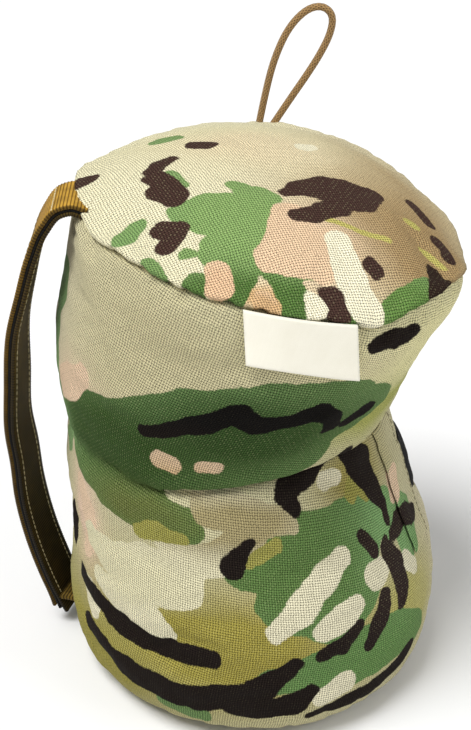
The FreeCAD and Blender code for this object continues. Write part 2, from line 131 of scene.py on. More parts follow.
class Nodes:
    """Short ways to add nodes to one material."""

    def __init__(self, name):
        self.material = bpy.data.materials.new(name)
        self.material.use_nodes = True
        self.tree = self.material.node_tree
        self.shader = self.tree.nodes["Principled BSDF"]

    def link(self, out, socket):
        self.tree.links.new(out, socket)

    def fill(self, socket, value):
        """Connect an output to a socket, or set the socket's own value."""
        if isinstance(value, bpy.types.NodeSocket):
            self.link(value, socket)
        elif hasattr(value, "__len__") and len(value) == 3 and socket.type == "RGBA":
            socket.default_value = (*value, 1)
        else:
            socket.default_value = value

    def math(self, operation, a, b=0.0):
        node = self.tree.nodes.new("ShaderNodeMath")
        node.operation = operation
        self.fill(node.inputs[0], a)
        self.fill(node.inputs[1], b)
        return node.outputs[0]

    def product(self, a, b):
        return self.math("MULTIPLY", a, b)

    def mix(self, share, a, b, blend="MIX"):
        node = self.tree.nodes.new("ShaderNodeMix")
        node.data_type = "RGBA"
        node.blend_type = blend
        self.fill(node.inputs["Factor"], share)
        self.fill(node.inputs["A"], a)
        self.fill(node.inputs["B"], b)
        return node.outputs["Result"]

    def attribute(self, name, output="Fac"):
        node = self.tree.nodes.new("ShaderNodeAttribute")
        node.attribute_name = name
        return node.outputs[output]

    def split(self, vector):
        node = self.tree.nodes.new("ShaderNodeSeparateXYZ")
        self.link(vector, node.inputs[0])
        return node.outputs

    def position(self):
        return self.tree.nodes.new("ShaderNodeTexCoord").outputs["Object"]

    def noise(self, vector, scale, detail=2.0, rough=0.5):
        node = self.tree.nodes.new("ShaderNodeTexNoise")
        self.link(vector, node.inputs["Vector"])
        node.inputs["Scale"].default_value = scale
        node.inputs["Detail"].default_value = detail
        node.inputs["Roughness"].default_value = rough
        return node.outputs["Fac"]

    def ramp(self, value, low, high, to_low=0.0, to_high=1.0):
        node = self.tree.nodes.new("ShaderNodeMapRange")
        node.interpolation_type = "SMOOTHSTEP"
        for name, number in (("Value", value), ("From Min", low), ("From Max", high),
                             ("To Min", to_low), ("To Max", to_high)):
            self.fill(node.inputs[name], number)
        return node.outputs[0]

    def shaded(self, colour, value, low, high, dark, light):
        """A colour times a grey that goes from dark to light with a value."""
        grey = self.ramp(value, low, high, dark, light)
        node = self.tree.nodes.new("ShaderNodeCombineColor")
        for socket in node.inputs[:3]:
            self.link(grey, socket)
        return self.mix(1.0, colour, node.outputs[0], "MULTIPLY")

    def bump(self, height, strength, distance):
        node = self.tree.nodes.new("ShaderNodeBump")
        self.link(height, node.inputs["Height"])
        node.inputs["Strength"].default_value = strength
        node.inputs["Distance"].default_value = distance
        self.link(node.outputs[0], self.shader.inputs["Normal"])

    def grey(self, colour):
        node = self.tree.nodes.new("ShaderNodeRGBToBW")
        self.link(colour, node.inputs[0])
        return node.outputs[0]

    def finish(self, colour, roughness, sheen=0.0, specular=0.12):
        values = {"Base Color": colour, "Roughness": roughness, "Sheen Weight": sheen,
                  "Sheen Roughness": SHEEN_ROUGH, "Specular IOR Level": specular}
        for name, value in values.items():
            self.fill(self.shader.inputs[name], value)
        return self.material


def linear(red, green, blue):
    """Scene colour of a screen colour given from 0 to 255."""
    return tuple(((c / 255 + 0.055) / 1.055) ** 2.4 if c > 10 else c / 3294 for c in (red, green, blue))


WEAVE_PITCH = 1.2
RIB_PITCH = 1.6
BRAID_PITCH = 2.4
STRAP_WIDE = 25.4
PRINT_LAYERS = ("green", "pink", "pale", "olive", "dark")


def waves(nodes, place, pitch):
    """Sine with a half wave for each pitch."""
    return nodes.math("SINE", nodes.product(place, math.pi / pitch))


def ridges(nodes, place, pitch):
    """Rounded ridges at a pitch."""
    return nodes.math("ABSOLUTE", waves(nodes, place, pitch))


def weave(nodes, pitch):
    """Height of an uneven plain weave, from cloth coordinates in mm, and which thread is over."""
    cloth = nodes.attribute("cloth", "Vector")
    across, along, _ = nodes.split(cloth)
    drift = nodes.noise(cloth, 0.12)
    across = nodes.math("ADD", across, nodes.product(drift, 1.6))
    over = nodes.product(waves(nodes, across, pitch), waves(nodes, along, pitch))
    warp = nodes.product(ridges(nodes, across, pitch), nodes.ramp(over, -0.35, 0.35, 0.45, 1.0))
    weft = nodes.product(ridges(nodes, along, pitch), nodes.ramp(over, -0.35, 0.35, 1.0, 0.45))
    return nodes.math("MAXIMUM", warp, weft), over


def printed_fabric():
    """Woven nylon with a printed camouflage: soft ground colours under crisp patches."""
    nodes = Nodes("printed_fabric")
    where = nodes.position()
    height, over = weave(nodes, WEAVE_PITCH)
    ragged = nodes.product(nodes.math("SUBTRACT", nodes.noise(where, 900), 0.5), 1.6)
    colour = nodes.attribute("ground", "Color")
    for layer in PRINT_LAYERS:
        edge = nodes.math("ADD", nodes.attribute(layer + "_edge"), ragged)
        ink = nodes.attribute(layer + "_ink", "Color")
        colour = nodes.mix(nodes.ramp(edge, -0.45, 0.45, 1.0, 0.0), colour, ink)
    # Painted shade in the gaps between threads and painted highlight on their crowns: the colour follows
    # the weave's height.
    threads = nodes.math("ADD", height, nodes.product(nodes.noise(where, 1800, 1.0), 0.5))
    colour = nodes.shaded(colour, threads, 0.4, 1.2, 0.2, 1.46)
    # Painted highlights: pale specks on the threads that lie over, weaker on the darkest inks.
    highlight_spots = nodes.ramp(nodes.noise(where, 760, 1.0), 0.44, 0.6)
    painted_highlight = nodes.product(nodes.ramp(over, 0.3, 0.9), highlight_spots)
    inked = nodes.ramp(nodes.grey(colour), 0.006, 0.03, 0.0, 0.16)
    colour = nodes.mix(nodes.product(painted_highlight, inked), colour, linear(196, 194, 146))
    # Painted shade: dark specks on the threads that lie under.
    shade_spots = nodes.ramp(nodes.noise(where, 700, 1.0), 0.44, 0.6)
    painted_sunk_shade = nodes.product(nodes.ramp(over, -0.3, -0.9), shade_spots)
    colour = nodes.mix(nodes.product(painted_sunk_shade, 0.3), colour, linear(40, 36, 24))
    nodes.bump(height, 0.55, 0.5 * MM)
    rough = nodes.ramp(nodes.noise(where, 30), 0.3, 0.7, 0.72, 0.9)
    return nodes.finish(colour, rough, 0.0, 0.05)


def webbing(name, colour, deep, painted_low_shade=1.0):
    """Ribbed narrow webbing, from cloth coordinates: x across and y along, in millimetres."""
    nodes = Nodes(name)
    across, along, _ = nodes.split(nodes.attribute("cloth", "Vector"))
    yarns = nodes.product(ridges(nodes, across, 0.8), 0.35)
    height = nodes.product(ridges(nodes, along, RIB_PITCH), nodes.math("ADD", yarns, 0.65))
    # Painted shade between the ribs: the deep colour where the height is low.
    tone = nodes.mix(nodes.ramp(height, 0.1, 0.8), deep, colour)
    streak = nodes.ramp(nodes.noise(nodes.position(), 160, 3.0), 0.3, 0.7, 0.82, 1.12)
    tone = nodes.shaded(tone, streak, 0.8, 1.14, 0.8, 1.14)
    # Painted shade along both edges of the webbing, within a millimetre of them.
    from_edge = nodes.math("MINIMUM", across, nodes.math("SUBTRACT", STRAP_WIDE, across))
    tone = nodes.shaded(tone, from_edge, 0.1, 1.0, 0.3, 1.0)
    # Painted shade: darker towards the strap's lower end.
    tone = nodes.shaded(tone, along, 70, 170, 1.0, painted_low_shade)
    nodes.bump(height, 0.6, 0.4 * MM)
    return nodes.finish(tone, nodes.ramp(height, 0.0, 1.0, 0.75, 0.5), 0.02)


def plain_cloth(name, colour, deep, pitch, roughness=0.8):
    """Fine plain cloth, from cloth coordinates in millimetres."""
    nodes = Nodes(name)
    height, _ = weave(nodes, pitch)
    # Painted shade in the gaps between threads: the deep colour where the weave is low.
    tone = nodes.mix(nodes.ramp(height, 0.2, 0.95), deep, colour)
    tone = nodes.mix(nodes.ramp(nodes.noise(nodes.position(), 45, 3.0), 0.4, 0.75, 0.0, 0.35), tone, deep)
    nodes.bump(height, 0.35, 0.3 * MM)
    return nodes.finish(tone, roughness, 0.1)


def thread(name, colour, deep):
    """Twisted sewing thread, by place."""
    nodes = Nodes(name)
    grain = nodes.noise(nodes.position(), 1500)
    nodes.bump(grain, 0.5, 0.2 * MM)
    return nodes.finish(nodes.mix(nodes.ramp(grain, 0.35, 0.65), deep, colour), 0.7, 0.2)


def pile(name, colour, deep):
    """Hook-and-loop tape: fine matt pile."""
    nodes = Nodes(name)
    fuzz = nodes.noise(nodes.position(), 2600, 3.0, 0.7)
    nodes.bump(fuzz, 0.9, 0.6 * MM)
    return nodes.finish(nodes.mix(nodes.ramp(fuzz, 0.35, 0.7), deep, colour), 0.95, 0.03)


def beads(name):
    """Packed small plastic beads."""
    nodes = Nodes(name)
    cells = nodes.tree.nodes.new("ShaderNodeTexVoronoi")
    nodes.link(nodes.position(), cells.inputs["Vector"])
    cells.inputs["Scale"].default_value = 260
    height = nodes.math("SUBTRACT", 1.0, cells.outputs["Distance"])
    nodes.bump(height, 0.8, 2 * MM)
    # Painted shade between the beads: the grey darkens towards each cell's edge.
    tone = nodes.mix(nodes.ramp(height, 0.2, 0.8), linear(180, 180, 176), linear(240, 240, 236))
    return nodes.finish(tone, 0.45)


def braid(name):
    """Braided cord: tan yarns that cross, from cloth coordinates round it and along it."""
    nodes = Nodes(name)
    round_it, along, _ = nodes.split(nodes.attribute("cloth", "Vector"))
    rise = nodes.product(along, math.pi / BRAID_PITCH)
    turn = nodes.product(round_it, 4.0)
    one, two = (nodes.math("ABSOLUTE", nodes.math("SINE", nodes.math(way, turn, rise)))
                for way in ("ADD", "SUBTRACT"))
    height = nodes.math("MAXIMUM", one, two)
    # Painted shade between the yarns: the darker colour where the braid is low.
    tone = nodes.mix(nodes.ramp(height, 0.55, 0.98), linear(88, 66, 38), linear(164, 130, 82))
    flecks = nodes.ramp(nodes.noise(nodes.position(), 700), 0.45, 0.7, 0.0, 0.6)
    tone = nodes.mix(flecks, tone, linear(120, 92, 54))
    nodes.bump(height, 0.6, 0.3 * MM)
    return nodes.finish(tone, 0.75, 0.2)


PAINT = {
    "fabric": printed_fabric(),
    "tan_webbing": webbing("tan_webbing_weave", linear(184, 142, 50), linear(104, 74, 18), 0.6),
    "black_webbing": webbing("black_webbing_weave", linear(38, 33, 28), linear(10, 8, 7)),
    # Painted shade: a darker copy of the tan webbing, for the strap's inner layer and the tongue beside the
    # bag.
    "shaded_tan_webbing": webbing("shaded_tan_webbing_weave", linear(118, 94, 34), linear(38, 27, 8), 0.35),
    "label": plain_cloth("label_cloth_weave", linear(253, 250, 236), linear(230, 224, 204), 0.42, 0.65),
    "liner": plain_cloth("liner_weave", linear(214, 212, 204), linear(160, 158, 150), 0.5),
    "thread": thread("olive_thread", linear(150, 142, 104), linear(88, 82, 56)),
    "light_thread": thread("cream_thread", linear(228, 214, 168), linear(176, 158, 110)),
    "hook": pile("black_hook_tape", linear(26, 24, 23), linear(7, 7, 7)),
    "loop": pile("black_loop_tape", linear(22, 20, 20), linear(6, 6, 6)),
    "beads": beads("foam_beads"),
    "cord": braid("braided_cord"),
}


# ---- mesh helpers
def add_mesh(name, points, faces, paint, cloth=None):
    """Mesh object from points in millimetres, with its cloth coordinates as an attribute."""
    mesh = bpy.data.meshes.new(name)
    mesh.from_pydata((np.asarray(points) * MM).tolist(), [], faces)
    mesh.materials.append(PAINT[paint])
    if cloth is not None:
        add_attribute(mesh, "cloth", "FLOAT_VECTOR", "vector", np.c_[cloth, np.zeros(len(cloth))])
    mesh.polygons.foreach_set("use_smooth", [True] * len(mesh.polygons))
    mesh.validate()
    mesh.update()
    thing = bpy.data.objects.new(name, mesh)
    SCENE.collection.objects.link(thing)
    return thing


def add_attribute(mesh, name, kind, key, values):
    attribute = mesh.attributes.new(name, kind, "POINT")
    attribute.data.foreach_set(key, np.asarray(values, np.float32).ravel())


def grid_faces(rows, columns, closed=False, start=0, flip=False):
    """Quads of a grid of points stored row by row; closed joins the last column to the first."""
    faces = []
    for row in range(rows - 1):
        for column in range(columns if closed else columns - 1):
            beside = (column + 1) % columns
            quad = (row * columns + column, row * columns + beside,
                    (row + 1) * columns + beside, (row + 1) * columns + column)
            quad = tuple(start + number for number in quad)
            faces.append(quad[::-1] if flip else quad)
    return faces


def tube_faces(rows, ring, start=0, flip=False):
    """Quads of a tube of rings of points, and a cap at each end."""
    first = tuple(range(start, start + ring))
    last = tuple(range(start + (rows - 1) * ring, start + rows * ring))
    caps = [first, last[::-1]] if flip else [first[::-1], last]
    return grid_faces(rows, ring, True, start, flip) + caps


def closed_sheet(name, outer, inner, shape, paint, cloth, closed=False):
    """Closed piece of cloth between two equal grids of points, its open borders walled."""
    rows, columns = shape
    count = rows * columns
    faces = grid_faces(rows, columns, closed) + grid_faces(rows, columns, closed, count, True)
    first, last = list(range(columns)), list(range(count - columns, count))
    if closed:
        borders = [first + [0], last[::-1] + [count - 1]]
    else:
        rim = first + [row * columns + columns - 1 for row in range(1, rows)]
        rim += last[-2::-1] + [row * columns for row in range(rows - 2, -1, -1)]
        borders = [rim]
    for rim in borders:
        for here, after in zip(rim, rim[1:]):
            faces.append((after, here, here + count, after + count))
    return add_mesh(name, np.r_[outer, inner], faces, paint, np.r_[cloth, cloth])


def finish_piece(thing, body, nodes=()):
    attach(thing, body)
    if nodes:
        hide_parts(*nodes)


def hermite(knots, values, slopes, at):
    """Smooth values at some places, from their values and slopes at the knots."""
    index = np.clip(np.searchsorted(knots, at, side="right") - 1, 0, len(knots) - 2)
    gap = (knots[index + 1] - knots[index])[..., None]
    t = (at - knots[index])[..., None] / gap
    rise = 3 * t ** 2 - 2 * t ** 3
    lead = gap * (t ** 3 - 2 * t ** 2 + t) * slopes[index]
    trail = gap * (t ** 3 - t ** 2) * slopes[index + 1]
    return values[index] * (1 - rise) + values[index + 1] * rise + lead + trail


# ---- cord loop
# x and z of the cord's route, in the upright plane through its exits.
CORD_ROUTE = [(2.4, 248.5), (5.2, 264.0), (9.2, 280.5), (15.5, 295.5), (24.0, 305.0), (31.8, 306.8),
              (37.0, 302.0), (35.9, 292.8), (31.0, 282.0), (24.6, 271.0), (17.6, 260.0), (10.6, 248.5)]
CORD_RADIUS = 1.8
CORD_ENDS_DEEP = 8.0
CORD_SIDES = 20
CORD_STEP = 0.45
BRAID_RELIEF = 0.12


def cord_line():
    """The points of the cord's smooth line, read from its spline, in millimetres."""
    low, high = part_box("pull_loop_ends")
    plane = (low.y + high.y) / 2
    curve = bpy.data.curves.new("cord_route", "CURVE")
    curve.dimensions = "3D"
    curve.resolution_u = 14
    route = curve.splines.new("NURBS")
    route.points.add(len(CORD_ROUTE) - 1)
    for point, (x, z) in zip(route.points, CORD_ROUTE):
        point.co = (x * MM, plane, z * MM, 1)
    route.order_u = 3
    route.use_endpoint_u = True
    holder = bpy.data.objects.new("cord_route", curve)
    SCENE.collection.objects.link(holder)
    bpy.context.view_layer.update()
    mesh = bpy.data.meshes.new_from_object(holder)
    line = [tuple(point.co / MM) for point in mesh.vertices]
    bpy.data.objects.remove(holder)
    bpy.data.meshes.remove(mesh)
    return np.array(line)


def cord_tube(name, line):
    """Round cord along a line in a plane of constant y, with braid relief, capped at both ends."""
    steps = np.r_[0, np.cumsum(np.linalg.norm(np.diff(line, axis=0), axis=1))]
    count = int(steps[-1] / CORD_STEP)
    at = np.linspace(0, steps[-1], count)
    middle = np.stack([np.interp(at, steps, line[:, axis]) for axis in range(3)], 1)
    way = np.gradient(middle, axis=0)
    way /= np.linalg.norm(way, axis=1)[:, None]
    out = np.array([0.0, 1.0, 0.0])
    side = np.cross(way, out)
    turn = np.linspace(0, 2 * math.pi, CORD_SIDES, endpoint=False)
    bulge = np.abs(np.sin(4 * turn[None, :] + at[:, None] * math.pi / BRAID_PITCH))
    bulge = np.maximum(bulge, np.abs(np.sin(4 * turn[None, :] - at[:, None] * math.pi / BRAID_PITCH)))
    reach = (CORD_RADIUS - BRAID_RELIEF + BRAID_RELIEF * bulge)[..., None]
    ring = np.cos(turn)[None, :, None] * side[:, None, :] + np.sin(turn)[None, :, None] * out
    points = (middle[:, None, :] + ring * reach).reshape(-1, 3)
    cloth = np.stack(np.broadcast_arrays(turn[None, :], at[:, None]), -1).reshape(-1, 2)
    return add_mesh(name, points, tube_faces(count, CORD_SIDES, 0, True), "cord", cloth), middle


def build_cord():
    line = cord_line()
    loop, middle = cord_tube("cord_loop", line)
    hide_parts("pull_loop")
    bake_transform(loop)
    for number, (end, beside) in enumerate(((line[0], line[3]), (line[-1], line[-4])), start=1):
        down = (end - beside) / np.linalg.norm(end - beside)
        stub_line = np.stack([end + down * 0.05, end + down * CORD_ENDS_DEEP])
        stub, _ = cord_tube("cord_end_%d" % number, stub_line)
        finish_piece(stub, "bag", ["pull_loop_ends"] if number == 1 else [])


build_cord()


# ---- form of the bag
# Side panel, from the bottom seam to the top seam.
# height, centre x, centre y, radius x, radius y, lean to the right, lean to the front (degrees)
LEVELS = np.array([
    (1.6, 0.5, 2.0, 75.0, 75.0, 0.0, 0.0),
    (5.0, 0.5, 2.0, 79.6, 79.6, 0.0, 0.0),
    (11.0, 0.3, 1.5, 84.0, 84.0, 0.0, 0.0),
    (19.0, 0.0, 0.8, 86.9, 86.9, 0.0, 0.0),
    (33.0, -0.5, 0.0, 89.0, 88.5, 0.0, 0.0),
    (60.0, -0.5, 0.0, 87.5, 87.0, 0.0, 0.0),
    (95.0, -5.5, 0.0, 81.6, 81.2, 0.0, 0.0),
    (120.0, -9.5, 0.5, 78.0, 76.0, 0.0, 0.0),
    (141.0, -13.2, 2.0, 74.8, 71.0, 0.0, 0.0),
    (165.0, -10.5, 1.0, 80.5, 77.5, 3.0, 0.5),
    (197.0, -0.5, 0.5, 88.5, 86.5, 6.0, 1.5),
    (223.5, 4.7, 1.6, 89.3, 89.2, 10.0, 2.1),
    (241.5, 8.0, 1.0, 89.0, 89.0, 10.7, 2.2),
])
FOOT, RIM = LEVELS[0, 0], LEVELS[-1, 0]
GIRTH = 88.0
SEAM_TUCK, SEAM_ROLL = 3.4, 4.5
FOOT_TUCK, FOOT_ROLL = 1.2, 1.6
DOME_RISE, TOP_LIFT = 22.0, 1.6
HEEL = 2.4
FABRIC_THICK = 1.0
LINER_INSET, LINER_THICK, FILL_INSET = 3.2, 0.5, 4.0

# The top seam rises and dips as it goes round: azimuth, height off its plane, half width in degrees.
RIM_WAVES = [(-152, -4.2, 13), (-61, -4.6, 10), (-31, 1.6, 11), (-98, 1.2, 13), (27, -7.5, 25),
             (0, -7.0, 15), (146, -10.5, 27), (112, -4.2, 20)]
# Line of the fold at the waist: azimuth, height.
FOLD_LINE = [(-140, 130), (-105, 137), (-77, 141.5), (-60, 145), (-40, 147), (-10, 146.5),
             (30, 142), (60, 139)]
# Soft dents and swells: azimuth, height, half widths in mm round and up, outward move in mm.
DENTS = [(-16, 196, 44, 24, -10.5), (-18, 148, 26, 9, -3.4), (-172, 198, 32, 22, -2.8),
         (-128, 138, 26, 7, -2.2),
         (-118, 205, 34, 12, -1.3), (-150, 150, 15, 16, 1.6),
         (-96, 118, 30, 9, 1.4), (-60, 120, 20, 8, -1.2), (-52, 160, 16, 7, 1.4), (-85, 165, 34, 10, 1.6),
         (-45, 128, 14, 5, -1.6), (-128, 180, 30, 9, 0.9), (-105, 60, 40, 14, 0.9), (-60, 40, 26, 12, -0.8),
         (20, 120, 30, 8, -1.6), (95, 140, 50, 7, -2.0), (150, 150, 40, 9, -1.6), (60, 100, 40, 20, 1.2),
         (120, 60, 50, 18, 1.0), (170, 110, 30, 12, 1.2), (100, 205, 50, 12, 1.0), (40, 215, 26, 9, -0.9)]
SIDE_SEAM_TURN = -4.0
AROUND = 2 * math.pi * GIRTH
PER_DEGREE = GIRTH * math.pi / 180


def turned(azimuth, middle):
    """Difference of two azimuths, from -180 to 180."""
    return (azimuth - middle + 180.0) % 360.0 - 180.0


def bump_at(value, half_width):
    return np.exp(-(value / half_width) ** 2)


def rim_wave(azimuth):
    return sum(height * bump_at(turned(azimuth, middle), width) for middle, height, width in RIM_WAVES)


def lumps(points, scale, size, seed):
    """Smooth uneven relief, by place."""
    shift = Vector((seed, 2 * seed, 3 * seed))
    return size * np.array([noise.noise(Vector(point) / scale + shift) for point in points])


def leaned(points, right, front):
    """Points turned about the axis (front, right, 0) by that many degrees."""
    right, front = np.radians(right), np.radians(front)
    angle = np.hypot(right, front)
    axis = np.stack([front, right, 0 * front], -1) / np.maximum(angle, 1e-9)[..., None]
    c, s = np.cos(angle)[..., None], np.sin(angle)[..., None]
    return points * c + np.cross(axis, points) * s + axis * (axis * points).sum(-1)[..., None] * (1 - c)


def side_point(azimuth, height, out=0.0):
    """Point of the smooth side panel at an azimuth in degrees and a height, moved outwards."""
    slopes = np.gradient(LEVELS, LEVELS[:, 0], axis=0)
    level = hermite(LEVELS[:, 0], LEVELS, slopes, height)
    turn = np.radians(azimuth)
    x, y = (level[..., 3] + out) * np.cos(turn), (level[..., 4] + out) * np.sin(turn)
    ring = np.stack([x, y, 0 * turn], -1)
    middle = np.stack([level[..., 1], level[..., 2], height], -1)
    return leaned(ring, level[..., 5], level[..., 6]) + middle


def fold(azimuth, height):
    """Outward and upward moves of the waist fold: a sharp crease with a full lip hanging over it."""
    line = np.array(FOLD_LINE, float)
    azimuth = turned(azimuth, 0)
    crease = np.interp(azimuth, line[:, 0], line[:, 1])
    strong = np.clip((azimuth + 142) / 35, 0, 1) * np.clip((62 - azimuth) / 40, 0, 1)
    strong = strong * strong * (3 - 2 * strong)
    above = height - crease
    out = -4.2 * np.exp(-np.abs(above) / 2.4) + 1.4 * bump_at(above - 9, 7) + 0.8 * bump_at(above + 9, 6)
    up = -3.4 * bump_at(above - 6, 6)
    return out * strong, up * strong


DRIFT = {"side": None, "top": None}


def drift_at(panel, azimuth, share):
    """What the cloth simulation moved a panel by, in mm, at azimuths and shares of its height or radius."""
    grid = DRIFT[panel]
    if grid is None:
        return 0.0
    rows, columns, _ = grid.shape
    column = ((azimuth - SIDE_SEAM_TURN) % 360.0) / 360.0 * columns
    row = np.clip(share, 0, 1) * (rows - 1)
    c0, r0 = np.floor(column).astype(int) % columns, np.clip(np.floor(row).astype(int), 0, rows - 2)
    c1, r1 = (c0 + 1) % columns, r0 + 1
    across, along = (column % 1.0)[..., None], (row - r0)[..., None]
    across, along = across * across * (3 - 2 * across), along * along * (3 - 2 * along)
    low = grid[r0, c0] * (1 - across) + grid[r0, c1] * across
    high = grid[r1, c0] * (1 - across) + grid[r1, c1] * across
    return low * (1 - along) + high * along


def side_surface(azimuth, height, inset=0.0, uneven=True):
    """Side panel with its seams, fold, dents and uneven filling; azimuth and height are flat arrays."""
    out = np.zeros(azimuth.shape) - inset
    for end, tuck, roll in ((height - FOOT, FOOT_TUCK, FOOT_ROLL), (RIM - height, SEAM_TUCK, SEAM_ROLL)):
        near = np.clip(1 - end / roll, 0, 1)
        out -= tuck * (1 - np.sqrt(1 - near ** 2 * 0.999))
    fold_out, fold_up = fold(azimuth, height)
    out += fold_out
    for middle, level, wide, tall, size in DENTS:
        away = turned(azimuth, middle) * PER_DEGREE
        out += size * bump_at(away, wide) * bump_at(height - level, tall)
    out -= 1.3 * np.exp(-np.abs(turned(azimuth, SIDE_SEAM_TURN)) * PER_DEGREE / 1.1)
    points = side_point(azimuth, height, out)
    points[:, 2] += fold_up + rim_wave(azimuth) * np.clip((height - 190) / (RIM - 190), 0, 1) ** 2
    points += drift_at("side", azimuth, (height - FOOT) / (RIM - FOOT))
    if uneven:
        calm = np.clip(np.minimum(height - FOOT, RIM - height) / 12, 0, 1)
        azimuth = (azimuth - SIDE_SEAM_TURN) % 360 + SIDE_SEAM_TURN
        flat = np.stack([azimuth * PER_DEGREE * 0.6, height * 1.35, 0 * height], -1)
        relief = (lumps(points, 34, 1.9, 3.1) + lumps(flat, 13, 0.75, 7.7) * calm
                  + lumps(points, 5.5, 0.3, 1.3))
        away = points - np.stack([LEVELS[:, 1].mean() + 0 * height, 0 * height, points[:, 2]], -1)
        away /= np.linalg.norm(away, axis=1)[:, None]
        pucker = np.sin(azimuth * 1.07) * np.sin(azimuth * 0.31 + 1) * np.exp(-(RIM - height) / 7) * 0.7
        points += away * (relief * calm + pucker)[:, None]
    return points


def seam_point(azimuth, radius, up):
    """Point above the plane of the top seam, with the seam's own waves carried along."""
    turn = np.radians(azimuth)
    flat = np.stack([radius * np.cos(turn), radius * np.sin(turn), up + 0 * turn], -1)
    level = LEVELS[-1]
    lean = np.broadcast_to(level[5], turn.shape), np.broadcast_to(level[6], turn.shape)
    points = leaned(flat, *lean) + np.array([level[1], level[2], level[0]])
    points[:, 2] += rim_wave(azimuth) * np.clip(radius / level[3], 0, 1) ** 3
    return points


def top_surface(azimuth, share, inset=0.0, uneven=True):
    """Domed top panel: share goes from 0 at the seam to 1 at the middle."""
    radius_full = LEVELS[-1, 3] - inset
    roll = 0.06
    angle = np.clip(share / roll, 0, 1) * math.pi / 2
    radius = radius_full - SEAM_TUCK * (1 - np.sin(angle))
    radius = np.where(share > roll, radius_full * (1 - (share - roll) / (1 - roll)), radius)
    lift = TOP_LIFT * (1 - np.cos(angle))
    dome = 1 - np.clip(radius / radius_full, 0, 1) ** 2
    up = lift + (DOME_RISE - TOP_LIFT) * dome * (share > roll) + 1.4 * bump_at(share - 0.09, 0.06)
    points = seam_point(azimuth, radius, up - inset) + drift_at("top", azimuth, share)
    if uneven:
        calm = np.clip(share / 0.12, 0, 1)
        relief = lumps(points, 30, 1.5, 5.3) + lumps(points, 11, 0.5, 2.9) + lumps(points, 5.5, 0.2, 4.3)
        pucker = np.sin(azimuth * 1.07 + 2) * np.sin(azimuth * 0.37) * np.exp(-share / 0.08) * 0.7
        points[:, 2] += relief * calm + pucker
    return points


def bottom_surface(azimuth, share, inset=0.0):
    """Rounded bottom panel: share goes from 0 at the bottom seam to 1 at the middle."""
    turn = np.radians(azimuth)
    arc = 0.08
    angle = np.clip(share / arc, 0, 1) * math.pi / 2
    full = LEVELS[0, 3] - FOOT_TUCK - inset
    radius = full - HEEL * (1 - np.cos(angle))
    radius = np.where(share > arc, (full - HEEL) * (1 - (share - arc) / (1 - arc)), radius)
    height = inset + FOOT * (1 - np.sin(angle))
    return np.stack([radius * np.cos(turn), radius * np.sin(turn), height], -1)


# ---- printed pattern
# Soft colours: a plain colour and zones of azimuth, height, half widths in mm round and up, screen colour.
SIDE_INKS = {
    "ground": ((182, 176, 142), [
        (-125, 205, 70, 40, (180, 172, 136)), (-150, 172, 22, 14, (206, 184, 154)),
        (-30, 215, 55, 26, (204, 198, 150)), (-65, 222, 22, 12, (196, 188, 148)),
        (-100, 60, 80, 34, (142, 132, 62)), (-150, 30, 60, 30, (140, 132, 64)),
        (-30, 55, 36, 22, (160, 154, 84)), (-150, 105, 14, 26, (206, 180, 156)),
        (-40, 178, 44, 17, (150, 152, 84)), (-40, 130, 26, 20, (140, 130, 74)),
        (30, 60, 60, 40, (196, 188, 158)),
        (80, 190, 60, 40, (170, 152, 116)), (130, 80, 60, 50, (158, 150, 90)),
        (170, 200, 50, 40, (192, 184, 156)), (60, 120, 50, 30, (160, 148, 104))]),
    "green": ((96, 122, 74), [
        # Partly print, partly painted shade: the two darker green zones in the band under the overhang.
        (-130, 155, 60, 26, (52, 74, 34)), (-85, 178, 50, 26, (50, 72, 34)),
        (-115, 122, 44, 12, (92, 98, 52)), (-70, 100, 60, 34, (84, 110, 60)),
        (-55, 45, 50, 26, (92, 124, 70)), (-28, 95, 26, 30, (116, 152, 98)),
        (-166, 150, 16, 60, (112, 140, 92)), (90, 120, 100, 90, (100, 126, 76))]),
    # Partly print, partly painted shade: the pale ink's darker zone just under the waist fold.
    "pale": ((206, 200, 172), [(-90, 122, 50, 16, (146, 134, 96)), (-130, 90, 60, 20, (200, 194, 160))]),
    "pink": ((206, 180, 152), [(-105, 147, 20, 10, (188, 160, 122))]),
    "olive": ((140, 136, 70), []),
    # Partly print, partly painted shade: the blacker dark-ink zone in the band under the overhang.
    "dark": ((28, 22, 19), [(-85, 190, 60, 20, (14, 12, 10)), (-35, 80, 40, 30, (46, 36, 32))]),
}
